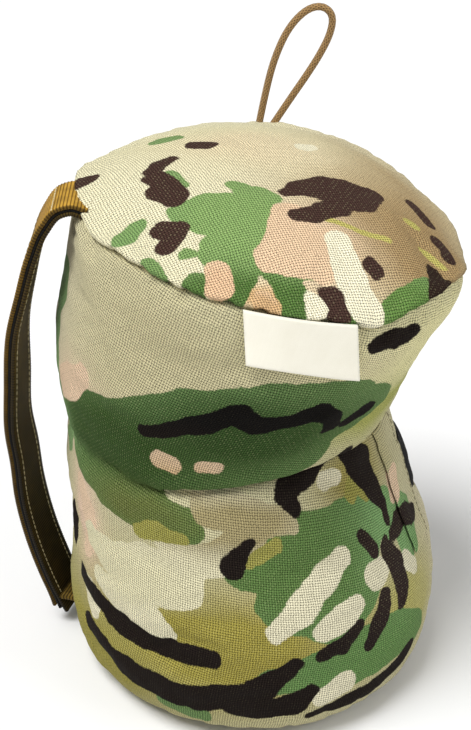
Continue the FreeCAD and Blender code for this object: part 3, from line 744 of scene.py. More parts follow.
# Patches: layer, then azimuth, height and radius in mm of points along a thick stroke.
SIDE_STROKES = [
    ("green", (-160, 150, 14), (-142, 148, 27), (-122, 157, 27), (-102, 172, 29), (-84, 183, 28),
     (-66, 188, 25), (-56, 187, 18)),
    ("green", (-136, 126, 9), (-118, 124, 13), (-104, 122, 9)),
    ("green", (-172, 188, 8), (-168, 160, 9), (-166, 132, 8)),
    ("green", (-88, 104, 12), (-74, 106, 20), (-60, 102, 22), (-48, 104, 18), (-38, 116, 12)),
    ("green", (-78, 84, 13), (-62, 78, 19), (-50, 84, 14)),
    ("green", (-84, 44, 7), (-70, 46, 12), (-56, 46, 16), (-42, 46, 15), (-30, 40, 10)),
    ("green", (-30, 104, 13), (-20, 94, 11), (-24, 78, 7)),
    ("green", (-116, 22, 6), (-106, 20, 6)),
    ("olive", (-122, 112, 4), (-114, 117, 5), (-106, 116, 4)),
    ("olive", (-86, 104, 3), (-82, 107, 5), (-76, 112, 4)),
    ("olive", (-45, 122, 4), (-40, 126, 6), (-37, 118, 4)),
    ("green", (-92, 160, 20), (-78, 160, 18), (-66, 164, 14)),
    ("pale", (-96, 131, 8), (-88, 129, 10), (-77, 124, 8), (-70, 121, 5)),
    ("pale", (-114, 113, 5), (-104, 104, 8), (-92, 109, 9), (-84, 117, 8)),
    ("pale", (-146, 96, 7), (-134, 90, 10), (-122, 92, 15), (-110, 94, 14)),
    ("pale", (-142, 76, 6), (-134, 72, 9), (-124, 70, 10), (-116, 66, 6)),
    ("pale", (-150, 66, 5), (-147, 54, 6)),
    ("pale", (-82, 70, 5), (-76, 77, 7), (-68, 86, 7), (-60, 95, 7), (-56, 99, 6)),
    ("pale", (-67, 68, 6), (-60, 71, 7), (-55, 75, 5)),
    ("pale", (-44, 82, 8), (-41, 84, 6)),
    ("pale", (-68, 30, 6), (-61, 34, 7)),
    ("pale", (-27, 76, 6), (-24, 70, 5)),
    ("pink", (-158, 166, 8), (-150, 172, 9), (-144, 180, 7)),
    ("pink", (-152, 118, 5), (-148, 108, 7), (-146, 96, 6), (-150, 86, 5)),
    ("pink", (-111, 156, 4.5), (-106, 155, 4)),
    ("pink", (-97, 155.5, 4), (-93, 155, 3.5)),
    ("pink", (-20, 118, 4), (-22, 106, 3.5)),
    ("dark", (-116, 171, 4), (-108, 177, 5.5), (-99, 184, 6.5), (-93, 192, 6), (-87, 186, 5.5),
     (-79, 190, 5.5), (-71, 195, 6), (-65, 189, 5), (-62, 180, 4)),
    ("dark", (-60, 233, 4), (-53, 232, 5.5), (-46, 231, 4)),
    ("dark", (-57, 181, 4), (-53, 186, 5.5)),
    ("dark", (-47, 153, 5), (-53, 147, 7), (-59, 142, 7.5), (-65, 137, 7), (-70, 133, 6), (-67, 126, 4)),
    ("pale", (-54, 133, 4), (-49, 132, 4.5)),
    ("dark", (-41, 142, 8), (-36, 133, 9), (-33, 121, 7), (-30, 109, 4), (-29, 100, 2.5)),
    ("dark", (-84, 116, 2.5), (-88, 109, 4), (-92, 102, 5)),
    ("dark", (-154, 68, 4), (-143, 61, 5.5), (-131, 57, 6), (-119, 55, 6), (-109, 56, 6), (-102, 56, 4.5)),
    ("dark", (-151, 44, 4), (-141, 38, 6.5), (-129, 33, 8), (-116, 31, 8), (-104, 32, 8), (-94, 35, 8),
     (-86, 41, 7), (-80, 49, 5), (-77, 53, 4)),
    ("dark", (-94, 29, 7), (-85, 27, 8), (-77, 29, 7), (-72, 36, 4.5)),
    ("dark", (-68, 55, 4), (-61, 57, 5), (-56, 63, 3.5)),
    ("dark", (-51, 51, 5), (-46, 62, 6), (-42, 70, 4)),
    ("dark", (-35, 92, 5), (-33, 80, 7.5), (-34, 68, 6), (-36, 61, 3.5)),
    ("dark", (-28, 92, 4.5), (-19, 95, 6), (-12, 90, 4)),
    ("dark", (-45, 103, 4), (-42, 94, 4)),
    ("dark", (-72, 19, 3), (-60, 21, 4.5), (-50, 22, 5), (-40, 24, 5), (-31, 29, 4.5)),
    ("dark", (-167, 92, 5), (-163, 80, 5)),
]
# The same for the top panel, by x and y in mm in the plane of its seam.
TOP_INKS = {
    "ground": ((206, 200, 168), [
        (45, 5, 42, 60, (162, 140, 102)), (62, -30, 34, 40, (148, 124, 86)),
        (10, -50, 22, 22, (204, 176, 146)),
        (-30, 30, 50, 26, (206, 200, 162)), (0, -82, 22, 8, (190, 156, 112)),
        (-10, 20, 36, 22, (204, 190, 156))]),
    "green": ((112, 138, 86), [
        (-18, -45, 34, 30, (120, 148, 88)), (0, -80, 60, 12, (74, 102, 50)),
        (58, -64, 26, 16, (88, 118, 60)),
        (-60, -50, 18, 18, (112, 142, 86))]),
    "pale": ((216, 210, 182), []),
    "pink": ((204, 176, 144), [(-4, -86, 14, 8, (186, 152, 110)), (-23, -76, 12, 10, (202, 168, 134))]),
    "olive": ((170, 162, 90), []),
    "dark": ((62, 44, 38), [(70, -50, 20, 26, (44, 32, 26))]),
}
TOP_STROKES = [
    ("pink", (4, -36, 9), (8, -50, 14), (-2, -60, 9), (16, -60, 8), (20, -44, 7)),
    ("pink", (-24, -70, 6), (-22, -80, 6)),
    ("green", (-39, -38, 7), (-28, -40, 13), (-14, -38, 12), (-12, -52, 15), (-20, -60, 12)),
    ("green", (-20, -20, 4), (-13, -26, 5), (-6, -26, 5)),
    ("green", (-14, -66, 8), (-17, -78, 8), (-18, -88, 6)),
    ("green", (-46, -12, 4), (-42, -20, 4)),
    ("green", (-52, 32, 5), (-46, 34, 4)),
    ("green", (-58, -42, 4), (-62, -50, 5.5)),
    ("green", (-50, -68, 4), (-46, -74, 3.5)),
    ("green", (-32, -76, 5), (-33, -86, 4.5)),
    ("green", (-6, -64, 4.5), (3, -70, 7), (9, -80, 7), (9, -90, 6)),
    ("green", (32, -80, 7), (40, -84, 7), (28, -88, 6)),
    ("green", (50, -70, 8), (60, -62, 10), (66, -52, 7), (56, -76, 6)),
    ("green", (-38, -62, 2.5), (-34, -62, 2)),
    ("green", (11, -66, 3), (15, -66, 2.5)),
    ("pale", (24, -44, 6), (28, -54, 7), (31, -65, 8), (38, -73, 7.5), (44, -79, 5)),
    ("pale", (16, -78, 5), (20, -88, 5)),
    ("pale", (8, 26, 4), (14, 30, 3)),
    ("pink", (-4, -82, 4.5), (-3, -90, 4.5)),
    ("olive", (18, -31, 1.8), (33, -33, 2), (46, -34, 1.6)),
    ("olive", (57, -10, 2.5), (60, -12, 2)),
    ("olive", (64, -26, 2), (72, -32, 2)),
    ("dark", (-46, 4, 3), (-52, -3, 4.5), (-54, -8, 4)),
    ("dark", (-52, -14, 5.5), (-48, -20, 7), (-44, -28, 6), (-53, -24, 4)),
    ("dark", (-48, -47, 4.5), (-41, -48, 5), (-45, -56, 4.5)),
    ("dark", (-37, 20, 4.5), (-32, 18, 4)),
    ("dark", (-84, -8, 5), (-80, -5, 4)),
    ("dark", (0, -20, 2.5), (10, -14, 6), (21, -10, 9), (32, -8, 11), (38, -3, 7)),
    ("dark", (6, -34, 4), (14, -30, 5), (24, -20, 6)),
    ("dark", (60, 8, 4), (65, 1, 4.5)),
    ("dark", (70, -14, 3.5), (74, -22, 4)),
    ("dark", (38, -51, 3.5), (41, -54, 3.5)),
    ("dark", (22, -72, 5), (27, -78, 4.5), (24, -84, 3)),
    ("dark", (68, -38, 4), (71, -48, 7.5), (70, -58, 6)),
]
# Patches round the back: how many, smallest and largest radius in mm, and the most points of a stroke.
HIDDEN_KINDS = {"green": (12, 9, 20, 5), "pale": (16, 4, 8, 4), "pink": (8, 4, 7, 3), "olive": (9, 3, 6, 3),
                "dark": (22, 3.5, 7, 6)}
PRINT_SEED = 21


def hidden_strokes():
    """More patches of the same kinds round the back, where the listed ones stop."""
    draw = random.Random(PRINT_SEED)
    strokes = []
    for layer, (count, small, large, steps) in HIDDEN_KINDS.items():
        for _ in range(count):
            azimuth, height = draw.uniform(6, 158), draw.uniform(22, 228)
            heading, points = draw.uniform(-0.7, 0.7), []
            for _ in range(draw.randint(2, steps)):
                radius = draw.uniform(small, large)
                points.append((azimuth, height, radius))
                heading += draw.uniform(-0.5, 0.5)
                azimuth += math.cos(heading) * radius * 1.5 / PER_DEGREE
                height += math.sin(heading) * radius * 1.5
            strokes.append((layer, *points))
    return strokes


def beyond(x, start, round_it):
    """How far x is past a start, the short way round where the pattern closes on itself."""
    return (x - start + AROUND / 2) % AROUND - AROUND / 2 if round_it else x - start


def stroke_distance(x, y, points, round_it):
    """Distance in mm from a thick stroke's edge, below zero inside it."""
    best = np.full(x.shape, 1e3)
    for (x0, y0, r0), (x1, y1, r1) in zip(points, points[1:]):
        run = max((x1 - x0) ** 2 + (y1 - y0) ** 2, 1e-6)
        past_x, past_y = beyond(x, x0, round_it), y - y0
        t = np.clip((past_x * (x1 - x0) + past_y * (y1 - y0)) / run, 0, 1)
        away = np.hypot(past_x - t * (x1 - x0), past_y - t * (y1 - y0)) - (r0 + t * (r1 - r0))
        best = np.minimum(best, away)
    return best


def soft_colours(x, y, plain, zones, round_it):
    """Linear colours that drift between zones: each zone has a place, half widths and a screen colour."""
    colour = np.tile(linear(*plain), (len(x), 1))
    for x0, y0, wide, tall, ink in zones:
        near = bump_at(beyond(x, x0, round_it), wide) * bump_at(y - y0, tall)
        share = np.clip(1.25 * near, 0, 1)[:, None]
        colour = colour * (1 - share) + np.array(linear(*ink)) * share
    return np.c_[colour, np.ones(len(x))]


def warped(x, y, round_it):
    """Pattern coordinates with a small uneven drift, so that no edge is a plain arc."""
    turn = x / GIRTH
    spots = np.stack([GIRTH * np.cos(turn), GIRTH * np.sin(turn), y] if round_it else [x, y, 0 * x], -1)
    drift_x = lumps(spots, 13, 2.2, 0.7) + lumps(spots, 5, 0.9, 8.1)
    drift_y = lumps(spots, 13, 2.2, 6.1) + lumps(spots, 5, 0.9, 9.9)
    return x + drift_x, y + drift_y


def add_print(mesh, x, y, inks, strokes, round_it=False):
    """Store the print on a mesh: each ink's colour, and its patches as the distance from their edges."""
    x, y = warped(x, y, round_it)
    for ink, (plain, zones) in inks.items():
        name = ink if ink == "ground" else ink + "_ink"
        add_attribute(mesh, name, "FLOAT_COLOR", "color", soft_colours(x, y, plain, zones, round_it))
    for layer in PRINT_LAYERS:
        edge = np.full(x.shape, 1e3)
        for kind, *points in strokes:
            if kind == layer:
                edge = np.minimum(edge, stroke_distance(x, y, points, round_it))
        add_attribute(mesh, layer + "_edge", "FLOAT", "value", np.clip(edge, -20, 20))


def side_print(thing, azimuth, height):
    """Print on a piece of the side, by azimuth and height; distances are in mm round the bag."""
    strokes = [(kind, *[(a * PER_DEGREE, h, r) for a, h, r in points])
               for kind, *points in SIDE_STROKES + hidden_strokes()]
    inks = {}
    for ink, (plain, zones) in SIDE_INKS.items():
        inks[ink] = plain, [(azimuth_in * PER_DEGREE, *rest) for azimuth_in, *rest in zones]
    add_print(thing.data, azimuth * PER_DEGREE, height, inks, strokes, True)


# ---- cloth simulation of the filled panels
SIM_COLUMNS, SIM_SIDE_ROWS, SIM_TOP_ROWS, SIM_FRAMES = 150, 66, 27, 20
SIM_PRESSURE = 4.0
SIM_MASS = 0.25
SLACK = 0.035
MOST_DRIFT = 4.5
# The flap's hinge, where the cloth is held, and how far that reaches round and up.
HINGE_TURN, HINGE_HEIGHT = -21.0, 107.0
HINGE_ROUND, HINGE_UP = 30, 52


def simulated(points, pinned):
    """How far, in mm, each point of a ringed grid of slack, filled cloth moves, sewn at its pinned rows."""
    rows, columns, _ = points.shape
    panel = add_mesh("sim_panel", points.reshape(-1, 3), grid_faces(rows, columns, True), "fabric")
    pins = panel.vertex_groups.new(name="sewn")
    for row in pinned:
        pins.add(list(range(row * columns, (row + 1) * columns)), 1.0, "REPLACE")
    cloth = panel.modifiers.new("cloth", "CLOTH")
    settings = cloth.settings
    settings.quality = 6
    settings.mass = SIM_MASS
    settings.tension_stiffness = 20
    settings.compression_stiffness = 20
    settings.shear_stiffness = 8
    settings.bending_stiffness = 0.4
    settings.air_damping = 4
    settings.vertex_group_mass = "sewn"
    settings.shrink_min = -SLACK
    settings.use_pressure = True
    settings.uniform_pressure_force = SIM_PRESSURE
    settings.effector_weights.gravity = 0
    cloth.collision_settings.use_collision = False
    cloth.collision_settings.use_self_collision = False
    cloth.point_cache.frame_start, cloth.point_cache.frame_end = 1, SIM_FRAMES
    for number in range(1, SIM_FRAMES + 1):
        SCENE.frame_set(number)
    made = panel.evaluated_get(bpy.context.evaluated_depsgraph_get()).to_mesh()
    found = np.array([vertex.co for vertex in made.vertices]) / MM
    SCENE.frame_set(1)
    bpy.data.objects.remove(panel)
    drift = found.reshape(points.shape) - points
    far = np.linalg.norm(drift, axis=2, keepdims=True)
    return drift * (MOST_DRIFT * np.tanh(far / MOST_DRIFT) / np.maximum(far, 1e-6))


def simulate_panels():
    """Let the side and the top panel settle as sewn and filled cloth, and keep what that moves."""
    azimuth, share = ringed(SIM_COLUMNS, SIM_SIDE_ROWS)
    height = FOOT + (RIM - FOOT) * share
    side = side_surface(azimuth, height).reshape(SIM_SIDE_ROWS, SIM_COLUMNS, 3)
    away = turned(azimuth, HINGE_TURN) * GIRTH * math.pi / 180
    held = bump_at(away, HINGE_ROUND) * bump_at(height - HINGE_HEIGHT, HINGE_UP)
    free = 1 - np.clip(1.4 * held, 0, 1).reshape(SIM_SIDE_ROWS, SIM_COLUMNS, 1)
    azimuth, share = ringed(SIM_COLUMNS, SIM_TOP_ROWS)
    top = top_surface(azimuth, share * 0.97).reshape(SIM_TOP_ROWS, SIM_COLUMNS, 3)
    calm = np.clip((1 - np.linspace(0, 1, SIM_TOP_ROWS)) / 0.25, 0, 1)[:, None, None]
    side_drift = simulated(side, [0, SIM_SIDE_ROWS - 1])
    top_drift = simulated(top, [0])
    DRIFT["side"] = (side_drift - side_drift.mean(axis=(0, 1))) * free
    DRIFT["top"] = top_drift * calm


# ---- panels of the bag
SIDE_COLUMNS, SIDE_ROWS, TOP_ROWS = ((360, 156, 58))


def azimuths(columns):
    return SIDE_SEAM_TURN + np.arange(columns) * 360.0 / columns


def ringed(columns, rows):
    """Flat arrays of azimuth and of a share from 0 to 1, row by row."""
    share = np.linspace(0, 1, rows)
    around, up = np.meshgrid(azimuths(columns), share)
    return around.ravel(), up.ravel()


def closer_at_ends(share, ends=0.035):
    """Rows drawn closer together near both seams."""
    return share - ends * np.sin(2 * math.pi * share)


SIDE_GRAIN, TOP_GRAIN = 9.0, -24.0
TOP_CLOTH_RADIUS, BOTTOM_CLOTH_RADIUS = 93.0, 92.0
BOTTOM_ROWS, BOTTOM_COLUMNS = 24, 144


def grained(x, y, turn):
    """Cloth coordinates whose threads run at a small turn, in degrees, to the panel."""
    c, s = math.cos(math.radians(turn)), math.sin(math.radians(turn))
    return np.stack([x * c - y * s, x * s + y * c], -1)


def build_side():
    azimuth, share = ringed(SIDE_COLUMNS, SIDE_ROWS)
    height = FOOT + (RIM - FOOT) * closer_at_ends(share)
    outer = side_surface(azimuth, height)
    inner = side_surface(azimuth, height, FABRIC_THICK)
    cloth = grained(azimuth * GIRTH * math.pi / 180, height * 1.02, SIDE_GRAIN)
    side = closed_sheet("side_fabric", outer, inner, (SIDE_ROWS, SIDE_COLUMNS), "fabric", cloth, True)
    side_print(side, np.r_[azimuth, azimuth], np.r_[height, height])
    return side


def flat_cloth(azimuth, share, radius):
    turn = np.radians(azimuth)
    reach = radius * (1 - share)
    return reach * np.cos(turn), reach * np.sin(turn)


def build_disc(name, surface, rows, columns, radius, turn):
    """Round printed panel from a surface of azimuth and share, closed on its underside."""
    azimuth, share = ringed(columns, rows + 1)
    keep = share < 1 - 1e-6
    azimuth, share = azimuth[keep], share[keep]
    middle = np.array([0.0]), np.array([1.0])
    outer = np.r_[surface(azimuth, share, 0.0), surface(*middle, 0.0)]
    inner = np.r_[surface(azimuth, share, FABRIC_THICK), surface(*middle, FABRIC_THICK)]
    count = len(outer)
    faces = grid_faces(rows, columns, True) + grid_faces(rows, columns, True, count, True)
    last = (rows - 1) * columns
    for column in range(columns):
        beside = (column + 1) % columns
        faces.append((last + column, last + beside, count - 1))
        faces.append((count + last + beside, count + last + column, 2 * count - 1))
        faces.append((beside, column, count + column, count + beside))
    disc = add_mesh(name, np.r_[outer, inner], faces, "fabric")
    azimuth, share = np.r_[azimuth, 0.0], np.r_[share, 1.0]
    x, y = flat_cloth(np.r_[azimuth, azimuth], np.r_[share, share], radius)
    add_attribute(disc.data, "cloth", "FLOAT_VECTOR", "vector", np.c_[grained(x, y, turn), 0 * x])
    add_print(disc.data, x, y, TOP_INKS, TOP_STROKES)
    return disc


FORM_COLUMNS, FORM_ROWS = 96, 60
LOWER_SHARES, UPPER_SHARES = (0.95, 0.5, 0.16, 0.08), (0.1, 0.4, 0.7, 0.95)


def closed_form(name, inset, paint, hollow=None):
    """Whole inner form of the bag at an inset, solid, or a shell down to a second inset."""
    columns, rows = FORM_COLUMNS, FORM_ROWS
    around = azimuths(columns)
    azimuth, share = ringed(columns, rows)
    height = FOOT + (RIM - FOOT) * share
    total = len(LOWER_SHARES) + rows + len(UPPER_SHARES)
    rings, faces = [], []
    for number, depth in enumerate([inset] if hollow is None else [inset, hollow]):
        lower = [bottom_surface(around, np.full(columns, s), depth) for s in LOWER_SHARES]
        body = side_surface(azimuth, height, depth, False).reshape(rows, columns, 3)
        upper = [top_surface(around, np.full(columns, s), depth, False) for s in UPPER_SHARES]
        rings.append(np.concatenate([np.array(lower), body, np.array(upper)]).reshape(-1, 3))
        faces += tube_faces(total, columns, number * total * columns, number == 1)
    pad = np.zeros((len(LOWER_SHARES) * columns, 2))
    cloth = np.concatenate([pad, np.stack([azimuth, height], -1), pad] * len(rings))
    return add_mesh(name, np.concatenate(rings), faces, paint, cloth)


def build_bag():
    side = build_side()
    top = build_disc("top_fabric", top_surface, TOP_ROWS, SIDE_COLUMNS, TOP_CLOTH_RADIUS, TOP_GRAIN)
    bottom = build_disc("bottom_fabric", bottom_surface, BOTTOM_ROWS, BOTTOM_COLUMNS,
                        BOTTOM_CLOTH_RADIUS, 0.0)
    finish_piece(side, "bag", ["side_panel"])
    finish_piece(top, "bag", ["top_panel"])
    finish_piece(bottom, "bag", ["bottom_panel"])
    liner = closed_form("liner_bag", LINER_INSET, "liner", LINER_INSET + LINER_THICK)
    finish_piece(liner, "bag", ["fill_liner"])
    filling = closed_form("bead_filling", FILL_INSET, "beads")
    finish_piece(filling, "bag", ["bead_fill"])


simulate_panels()
build_bag()


# ---- closure and patches on the side
def azimuth_at(y, height):
    """Azimuth on the right side where the side panel passes a given y."""
    return np.degrees(np.arcsin(y / np.interp(height, LEVELS[:, 0], LEVELS[:, 4])))


def side_patch(name, sides, heights, low, thick, paint, shape=(24, 50), hem=0.0, root=1.0):
    """Cloth that follows the side panel: its y and height limits, lift and thickness, edges rounded."""
    columns, rows = shape
    across, up = np.meshgrid(np.linspace(0, 1, columns), np.linspace(0, 1, rows))
    across, up = across.ravel(), up.ravel()
    height = heights[0] + (heights[1] - heights[0]) * up
    azimuth = azimuth_at(sides[0] + (sides[1] - sides[0]) * across, height)
    wide = sides[1] - sides[0]
    tall = heights[1] - heights[0]
    edge = np.minimum(np.minimum(across, 1 - across) * wide, np.minimum(up, 1 - up) * tall)
    full = np.sqrt(np.clip(1 - (1 - np.clip(edge / thick, 0, 1)) ** 2, 0.02, 1))
    half = thick / 2
    doubled = hem * bump_at((1 - across) * wide - 3, 2.2)
    low = low * (root + (1 - root) * np.clip(across * wide / 5, 0, 1))
    outer = side_surface(azimuth, height, -(low + half + half * full + doubled))
    inner = side_surface(azimuth, height, -(low + half - half * full))
    cloth = np.stack([azimuth * GIRTH * math.pi / 180, height], -1)
    piece = closed_sheet(name, outer, inner, (rows, columns), paint, cloth)
    return piece, np.r_[azimuth, azimuth], np.r_[height, height]


def stitch_run(name, points, ways, normals, paint, long=2.6, thick=0.34):
    """Row of single stitches: small rounded bars along points, as one mesh."""
    sides, rings = 6, ((-0.5, 0.45), (-0.38, 0.9), (0.0, 1.0), (0.38, 0.9), (0.5, 0.45))
    turn = np.linspace(0, 2 * math.pi, sides, endpoint=False)
    verts, faces = [], []
    for point, way, normal in zip(points, ways, normals):
        across = np.cross(way, normal)
        start = len(verts)
        for along, share in rings:
            for angle in turn:
                verts.append(point + way * along * long + share * thick * (
                    across * math.cos(angle) + normal * math.sin(angle) * 0.8))
        faces += tube_faces(len(rings), sides, start)
    return add_mesh(name, verts, faces, paint)


def build_closure():
    flap, azimuth, height = side_patch("closure_cover", (-29.5, -8.5), (73.5, 141.5), 1.7, 0.9, "fabric",
                                       (26, 64), 0.5, 0.4)
    side_print(flap, azimuth, height)
    finish_piece(flap, "flap", ["closure_flap"])
    rows = np.linspace(75, 139, 19)
    turns = azimuth_at(np.full(rows.shape, -11.0), rows)
    spots = side_surface(turns, rows, -3.2)
    ways = np.gradient(spots, axis=0)
    ways /= np.linalg.norm(ways, axis=1)[:, None]
    normals = side_surface(turns, rows, -4.2) - spots
    stitches = stitch_run("closure_hem_stitches", spots, ways, normals, "thread")
    finish_piece(stitches, "flap", ["flap_stitching"])
    hook, _, _ = side_patch("hook_strip", (-24.0, -10.0), (93, 118), 1.05, 0.6, "hook", (12, 24))
    finish_piece(hook, "flap", ["hook_tape"])
    loop, _, _ = side_patch("loop_strip", (-23.5, 22.0), (93, 118), 0.1, 0.85, "loop", (30, 24))
    finish_piece(loop, "bag", ["loop_tape"])
    allowance, azimuth, height = side_patch("side_seam_fold", (-13.5, 1.8), (18, 205), -1.9, 0.7, "fabric",
                                            (10, 90))
    side_print(allowance, azimuth, height)
    finish_piece(allowance, "bag", ["side_seam_allowance"])
    row, _, _ = side_patch("side_seam_row", (-7.6, -6.8), (18, 205), -2.3, 0.4, "thread", (4, 90))
    finish_piece(row, "bag", ["side_seam_thread"])


build_closure()


# ---- label
LABEL_CORNERS = {"left_top": (-4.5, -89.0, 242.5), "right_top": (42.8, -81.8, 231.5),
                 "right_low": (44.4, -82.0, 205.5), "left_low": (-3.4, -92.8, 219.4)}
LABEL_CUT = (50.8, 48.0)
LABEL_THICK = 0.4


def apply_modifiers(thing):
    bpy.context.view_layer.update()
    made = bpy.data.meshes.new_from_object(thing.evaluated_get(bpy.context.evaluated_depsgraph_get()))
    thing.modifiers.clear()
    thing.data = made


def build_label():
    """Woven label, folded at its lower edge, both layers sewn into the top seam."""
    columns = 41
    corners = {name: np.array(corner) for name, corner in LABEL_CORNERS.items()}
    rows = 22
    drops = np.r_[np.linspace(0, 1, rows), np.ones(3), np.linspace(1, 0, rows)]
    lifts = np.r_[np.ones(rows), (0.85, 0.5, 0.15), np.zeros(rows)]
    sags = np.r_[np.zeros(rows), (0.018, 0.026, 0.018), np.zeros(rows)]
    outward = np.array([0.14, -0.97, 0.16])
    points, cloth = [], []
    for row, (drop, lift, sag) in enumerate(zip(drops, lifts, sags)):
        for share in np.linspace(0, 1, columns):
            top = corners["left_top"] * (1 - share) + corners["right_top"] * share
            bottom = corners["left_low"] * (1 - share) + corners["right_low"] * share
            spot = top + (bottom - top) * (drop + sag)
            bow = 3.2 * math.sin(math.pi * share) * (1 - 0.25 * drop)
            curl = 0.8 * drop ** 2 * (0.4 + 0.6 * math.cos(2.2 * math.pi * share)) + 0.9 * lift
            points.append(spot + outward * (bow + curl))
            cloth.append((share * LABEL_CUT[0], row))
    label = add_mesh("sewn_label", points, grid_faces(len(drops), columns), "label", np.array(cloth))
    solid = label.modifiers.new("thickness", "SOLIDIFY")
    solid.thickness = LABEL_THICK * MM
    solid.offset = 0
    apply_modifiers(label)
    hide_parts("label")
    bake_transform(label)


build_label()


# ---- carry strap
# Near edge of the strap's outer face, from the top seam down: x, y, z and the turn of its width in degrees.
STRAP_EDGE = [(-72.0, -29.0, 257.0, 0), (-79.0, -28.8, 259.2, 0), (-86.5, -28.5, 257.2, 0),
              (-94.8, -27.2, 247, 1), (-102.0, -25.2, 230, 3), (-107.9, -22.8, 210, 5),
              (-113.6, -19.8, 189, 8), (-117.4, -15.9, 156, 12), (-119.3, -12.4, 130, 13),
              (-118.3, -9.8, 110, 15), (-117.9, -6.8, 87, 17), (-114.4, -3.2, 58, 18),
              (-109.6, 0.3, 34, 19), (-105.2, 2.6, 17, 19), (-102.6, 3.8, 7, 19)]
STRAP_LAYERS = {"outer": (0.0, 1.9, 25.4, "tan_webbing", "tan_webbing"),
                "core": (1.95, 1.5, 24.8, "black_webbing", "black_webbing"),
                # The inner layer wears the darker copy of the tan webbing, painted as shade.
                "inner": (3.5, 1.9, 25.4, "shaded_tan_webbing", "tan_webbing")}
STRAP_SPLAY = {"outer": (-1.2, 0.985), "core": (0.0, 0.992), "inner": (1.4, 1.0)}
STRAP_HALVES = {"upper": (0.0, 0.5), "lower": (0.5, 1.0)}
STRAP_STEPS = 600
STITCH_GAP = 3.4


def strap_line():
    """Smooth line of the strap's near edge, evenly spread, with the turn of its width."""
    points = np.array(STRAP_EDGE, float)
    steps = np.r_[0, np.cumsum(np.linalg.norm(np.diff(points[:, :3], axis=0), axis=1))]
    slopes = np.gradient(points, steps, axis=0)
    return hermite(steps, points, slopes, np.linspace(0, steps[-1], STRAP_STEPS))


STRAP_LINE = strap_line()
STRAP_LENGTH = float(np.linalg.norm(np.diff(STRAP_LINE[:, :3], axis=0), axis=1).sum())


def strap_frame(share):
    """Near edge, inward direction, width direction and tangent of the strap at shares of its length."""
    steps = np.linspace(0, 1, STRAP_STEPS)
    at = np.stack([np.interp(share, steps, STRAP_LINE[:, axis]) for axis in range(4)], 1)
    slope = np.gradient(STRAP_LINE[:, :3], axis=0)
    way = np.stack([np.interp(share, steps, slope[:, axis]) for axis in range(3)], 1)
    way /= np.linalg.norm(way, axis=1)[:, None]
    turn = np.radians(at[:, 3])
    width = np.stack([np.sin(turn), np.cos(turn), 0 * turn], 1)
    inward = np.cross(way, width)
    inward /= np.linalg.norm(inward, axis=1)[:, None]
    return at[:, :3], inward, width, way


def strap_band(name, share_low, share_high, depth, thick, wide, paint, splay):
    """Ribbed webbing between two shares of the strap: depth of its outer face and thickness, in mm."""
    long = STRAP_LENGTH * (share_high - share_low)
    rows = max(8, int(long / (RIB_PITCH / 4)))
    share = np.linspace(share_low, share_high, rows)
    edge, inward, width, _ = strap_frame(share)
    flat = np.linspace(0.5, wide - 0.5, 9)
    section = [(x, 0.0) for x in flat]
    section += [(wide - 0.1, thick * 0.25), (wide, thick * 0.5), (wide - 0.1, thick * 0.75)]
    section += [(x, thick) for x in np.linspace(wide - 0.5, 0.5, 9)]
    section += [(0.1, thick * 0.75), (0.0, thick * 0.5), (0.1, thick * 0.25)]
    section = np.array(section)
    rib = 0.16 * np.cos(2 * math.pi * share * STRAP_LENGTH / RIB_PITCH)
    outward = np.sign(section[:, 1] - thick / 2) * (np.abs(section[:, 1] - thick / 2) > thick * 0.4)
    deep = depth + section[None, :, 1] + outward[None, :] * rib[:, None]
    deep = deep + splay * np.clip((share - 0.93) / 0.07, 0, 1)[:, None] ** 2
    across = (STRAP_WIDE - wide) / 2 + section[None, :, 0]
    points = edge[:, None, :] + inward[:, None, :] * deep[..., None]
    points = points + width[:, None, :] * across[..., None]
    ring = len(section)
    cloth = np.broadcast_arrays(section[None, :, 0], share[:, None] * STRAP_LENGTH)
    cloth = np.stack(cloth, -1).reshape(-1, 2)
    return add_mesh(name, points.reshape(-1, 3), tube_faces(rows, ring), paint, cloth)


def strap_stitches(name, shares, depth, across, outward, paint):
    """Row of stitches along the strap on one face."""
    count = int(STRAP_LENGTH * (shares[1] - shares[0]) / STITCH_GAP)
    share = np.linspace(shares[0], shares[1], count + 1)[:-1] + (shares[1] - shares[0]) / count / 2
    edge, inward, width, way = strap_frame(share)
    spots = edge + inward * depth + width * across
    return stitch_run(name, spots, way, inward * outward, paint, 2.4, 0.3)


def follow_strap(piece, half):
    """Bake a strap piece's placement into its mesh; the upper and the lower half are treated alike."""
    if half == "upper":
        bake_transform(piece)
    else:
        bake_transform(piece)


def build_strap():
    for layer, (depth, thick, wide, paint, slot) in STRAP_LAYERS.items():
        splay, reach = STRAP_SPLAY[layer]
        for half, (low, high) in STRAP_HALVES.items():
            high = min(high, reach)
            band = strap_band("%s_%s_webbing" % (half, layer), low, high, depth, thick, wide, paint, splay)
            sewn_end = "strap_top_end" if half == "upper" else "strap_bottom_end"
            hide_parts("strap_%s_webbing" % layer, sewn_end)
            follow_strap(band, half)
    for half, (low, high) in STRAP_HALVES.items():
        for face, depth, outward in (("outer", -0.1, -1), ("inner", 5.5, 1)):
            for edge, across in (("near", 3.6), ("far", STRAP_WIDE - 3.6)):
                shares = (max(low, 0.11), min(high, 0.97))
                name = "%s_%s_%s_stitches" % (half, face, edge)
                paint = "thread" if face == "outer" else "light_thread"
                row = strap_stitches(name, shares, depth, across, outward, paint)
                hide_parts("strap_stitching")
                follow_strap(row, half)


build_strap()


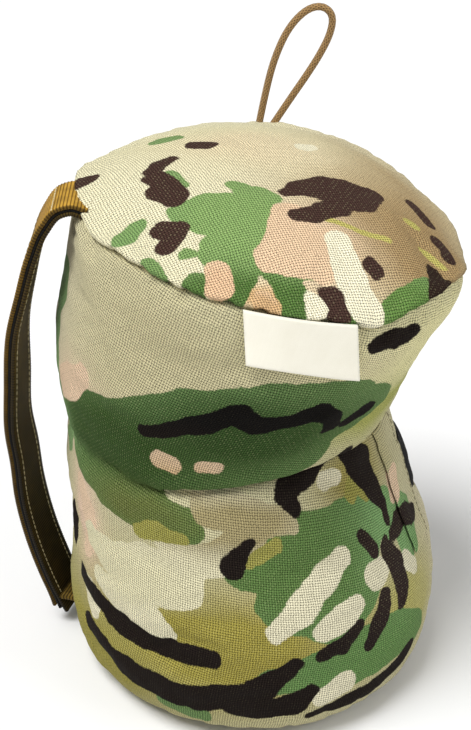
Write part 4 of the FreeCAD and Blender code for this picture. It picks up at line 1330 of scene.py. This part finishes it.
def strap_cross_stitch():
    """Line of cream stitches across the strap's outer face, where its layers are joined at the top."""
    edge, inward, width, _ = strap_frame(np.array([0.062, 0.07]))
    across = np.arange(1.6, STRAP_WIDE - 1, 2.6)
    spots = np.array([edge[0] - inward[0] * 0.15 + width[0] * x for x in across])
    row = stitch_run("top_cross_stitches", spots, np.tile(width[0], (len(across), 1)),
                     np.tile(-inward[0], (len(across), 1)), "light_thread", 2.2, 0.36)
    finish_piece(row, "bag")


strap_cross_stitch()


def build_tongue():
    """Webbing from the strap's foot into the bottom seam."""
    edge, inward, width, _ = strap_frame(np.array([0.965]))
    start = edge[0] + inward[0] * 4.4
    rows, sides, reach, thick = 12, 6, 13.0, 2.2
    into = np.array([0.97, 0.0, 0.0])
    points = []
    for along in np.linspace(0, reach, rows):
        for across, up in ((0.4, 0), (STRAP_WIDE - 0.4, 0), (STRAP_WIDE, thick / 2),
                           (STRAP_WIDE - 0.4, thick), (0.4, thick), (0, thick / 2)):
            level = np.array([0, 0, up - 0.02 * along ** 2])
            points.append(start + into * along + width[0] * across + level)
    cloth = np.array([(number % sides * 5.0, number // sides * 1.2) for number in range(rows * sides)])
    # Painted shade: the tongue takes the darker copy of the tan webbing.
    tongue = add_mesh("strap_tongue", points, tube_faces(rows, sides), "shaded_tan_webbing", cloth)
    finish_piece(tongue, "bag")


build_tongue()


# ---- seam stitches inside the bag
SEAM_STITCHES = 150


def build_seam_rows():
    """Rows of stitches that hold the top and the bottom panel, just inside the side panel."""
    for name, node, height in (("top_seam_row", "top_seam_thread", RIM - 4.0),
                               ("bottom_seam_row", "bottom_seam_thread", FOOT + 4.0)):
        turns = azimuths(SEAM_STITCHES)
        heights = np.full(turns.shape, height)
        spots = side_surface(turns, heights, 1.5, False)
        ways = np.roll(spots, -1, axis=0) - np.roll(spots, 1, axis=0)
        ways /= np.linalg.norm(ways, axis=1)[:, None]
        normals = side_surface(turns, heights, 0.5, False) - spots
        row = stitch_run(name, spots, ways, normals, "thread")
        finish_piece(row, "bag", [node])


build_seam_rows()
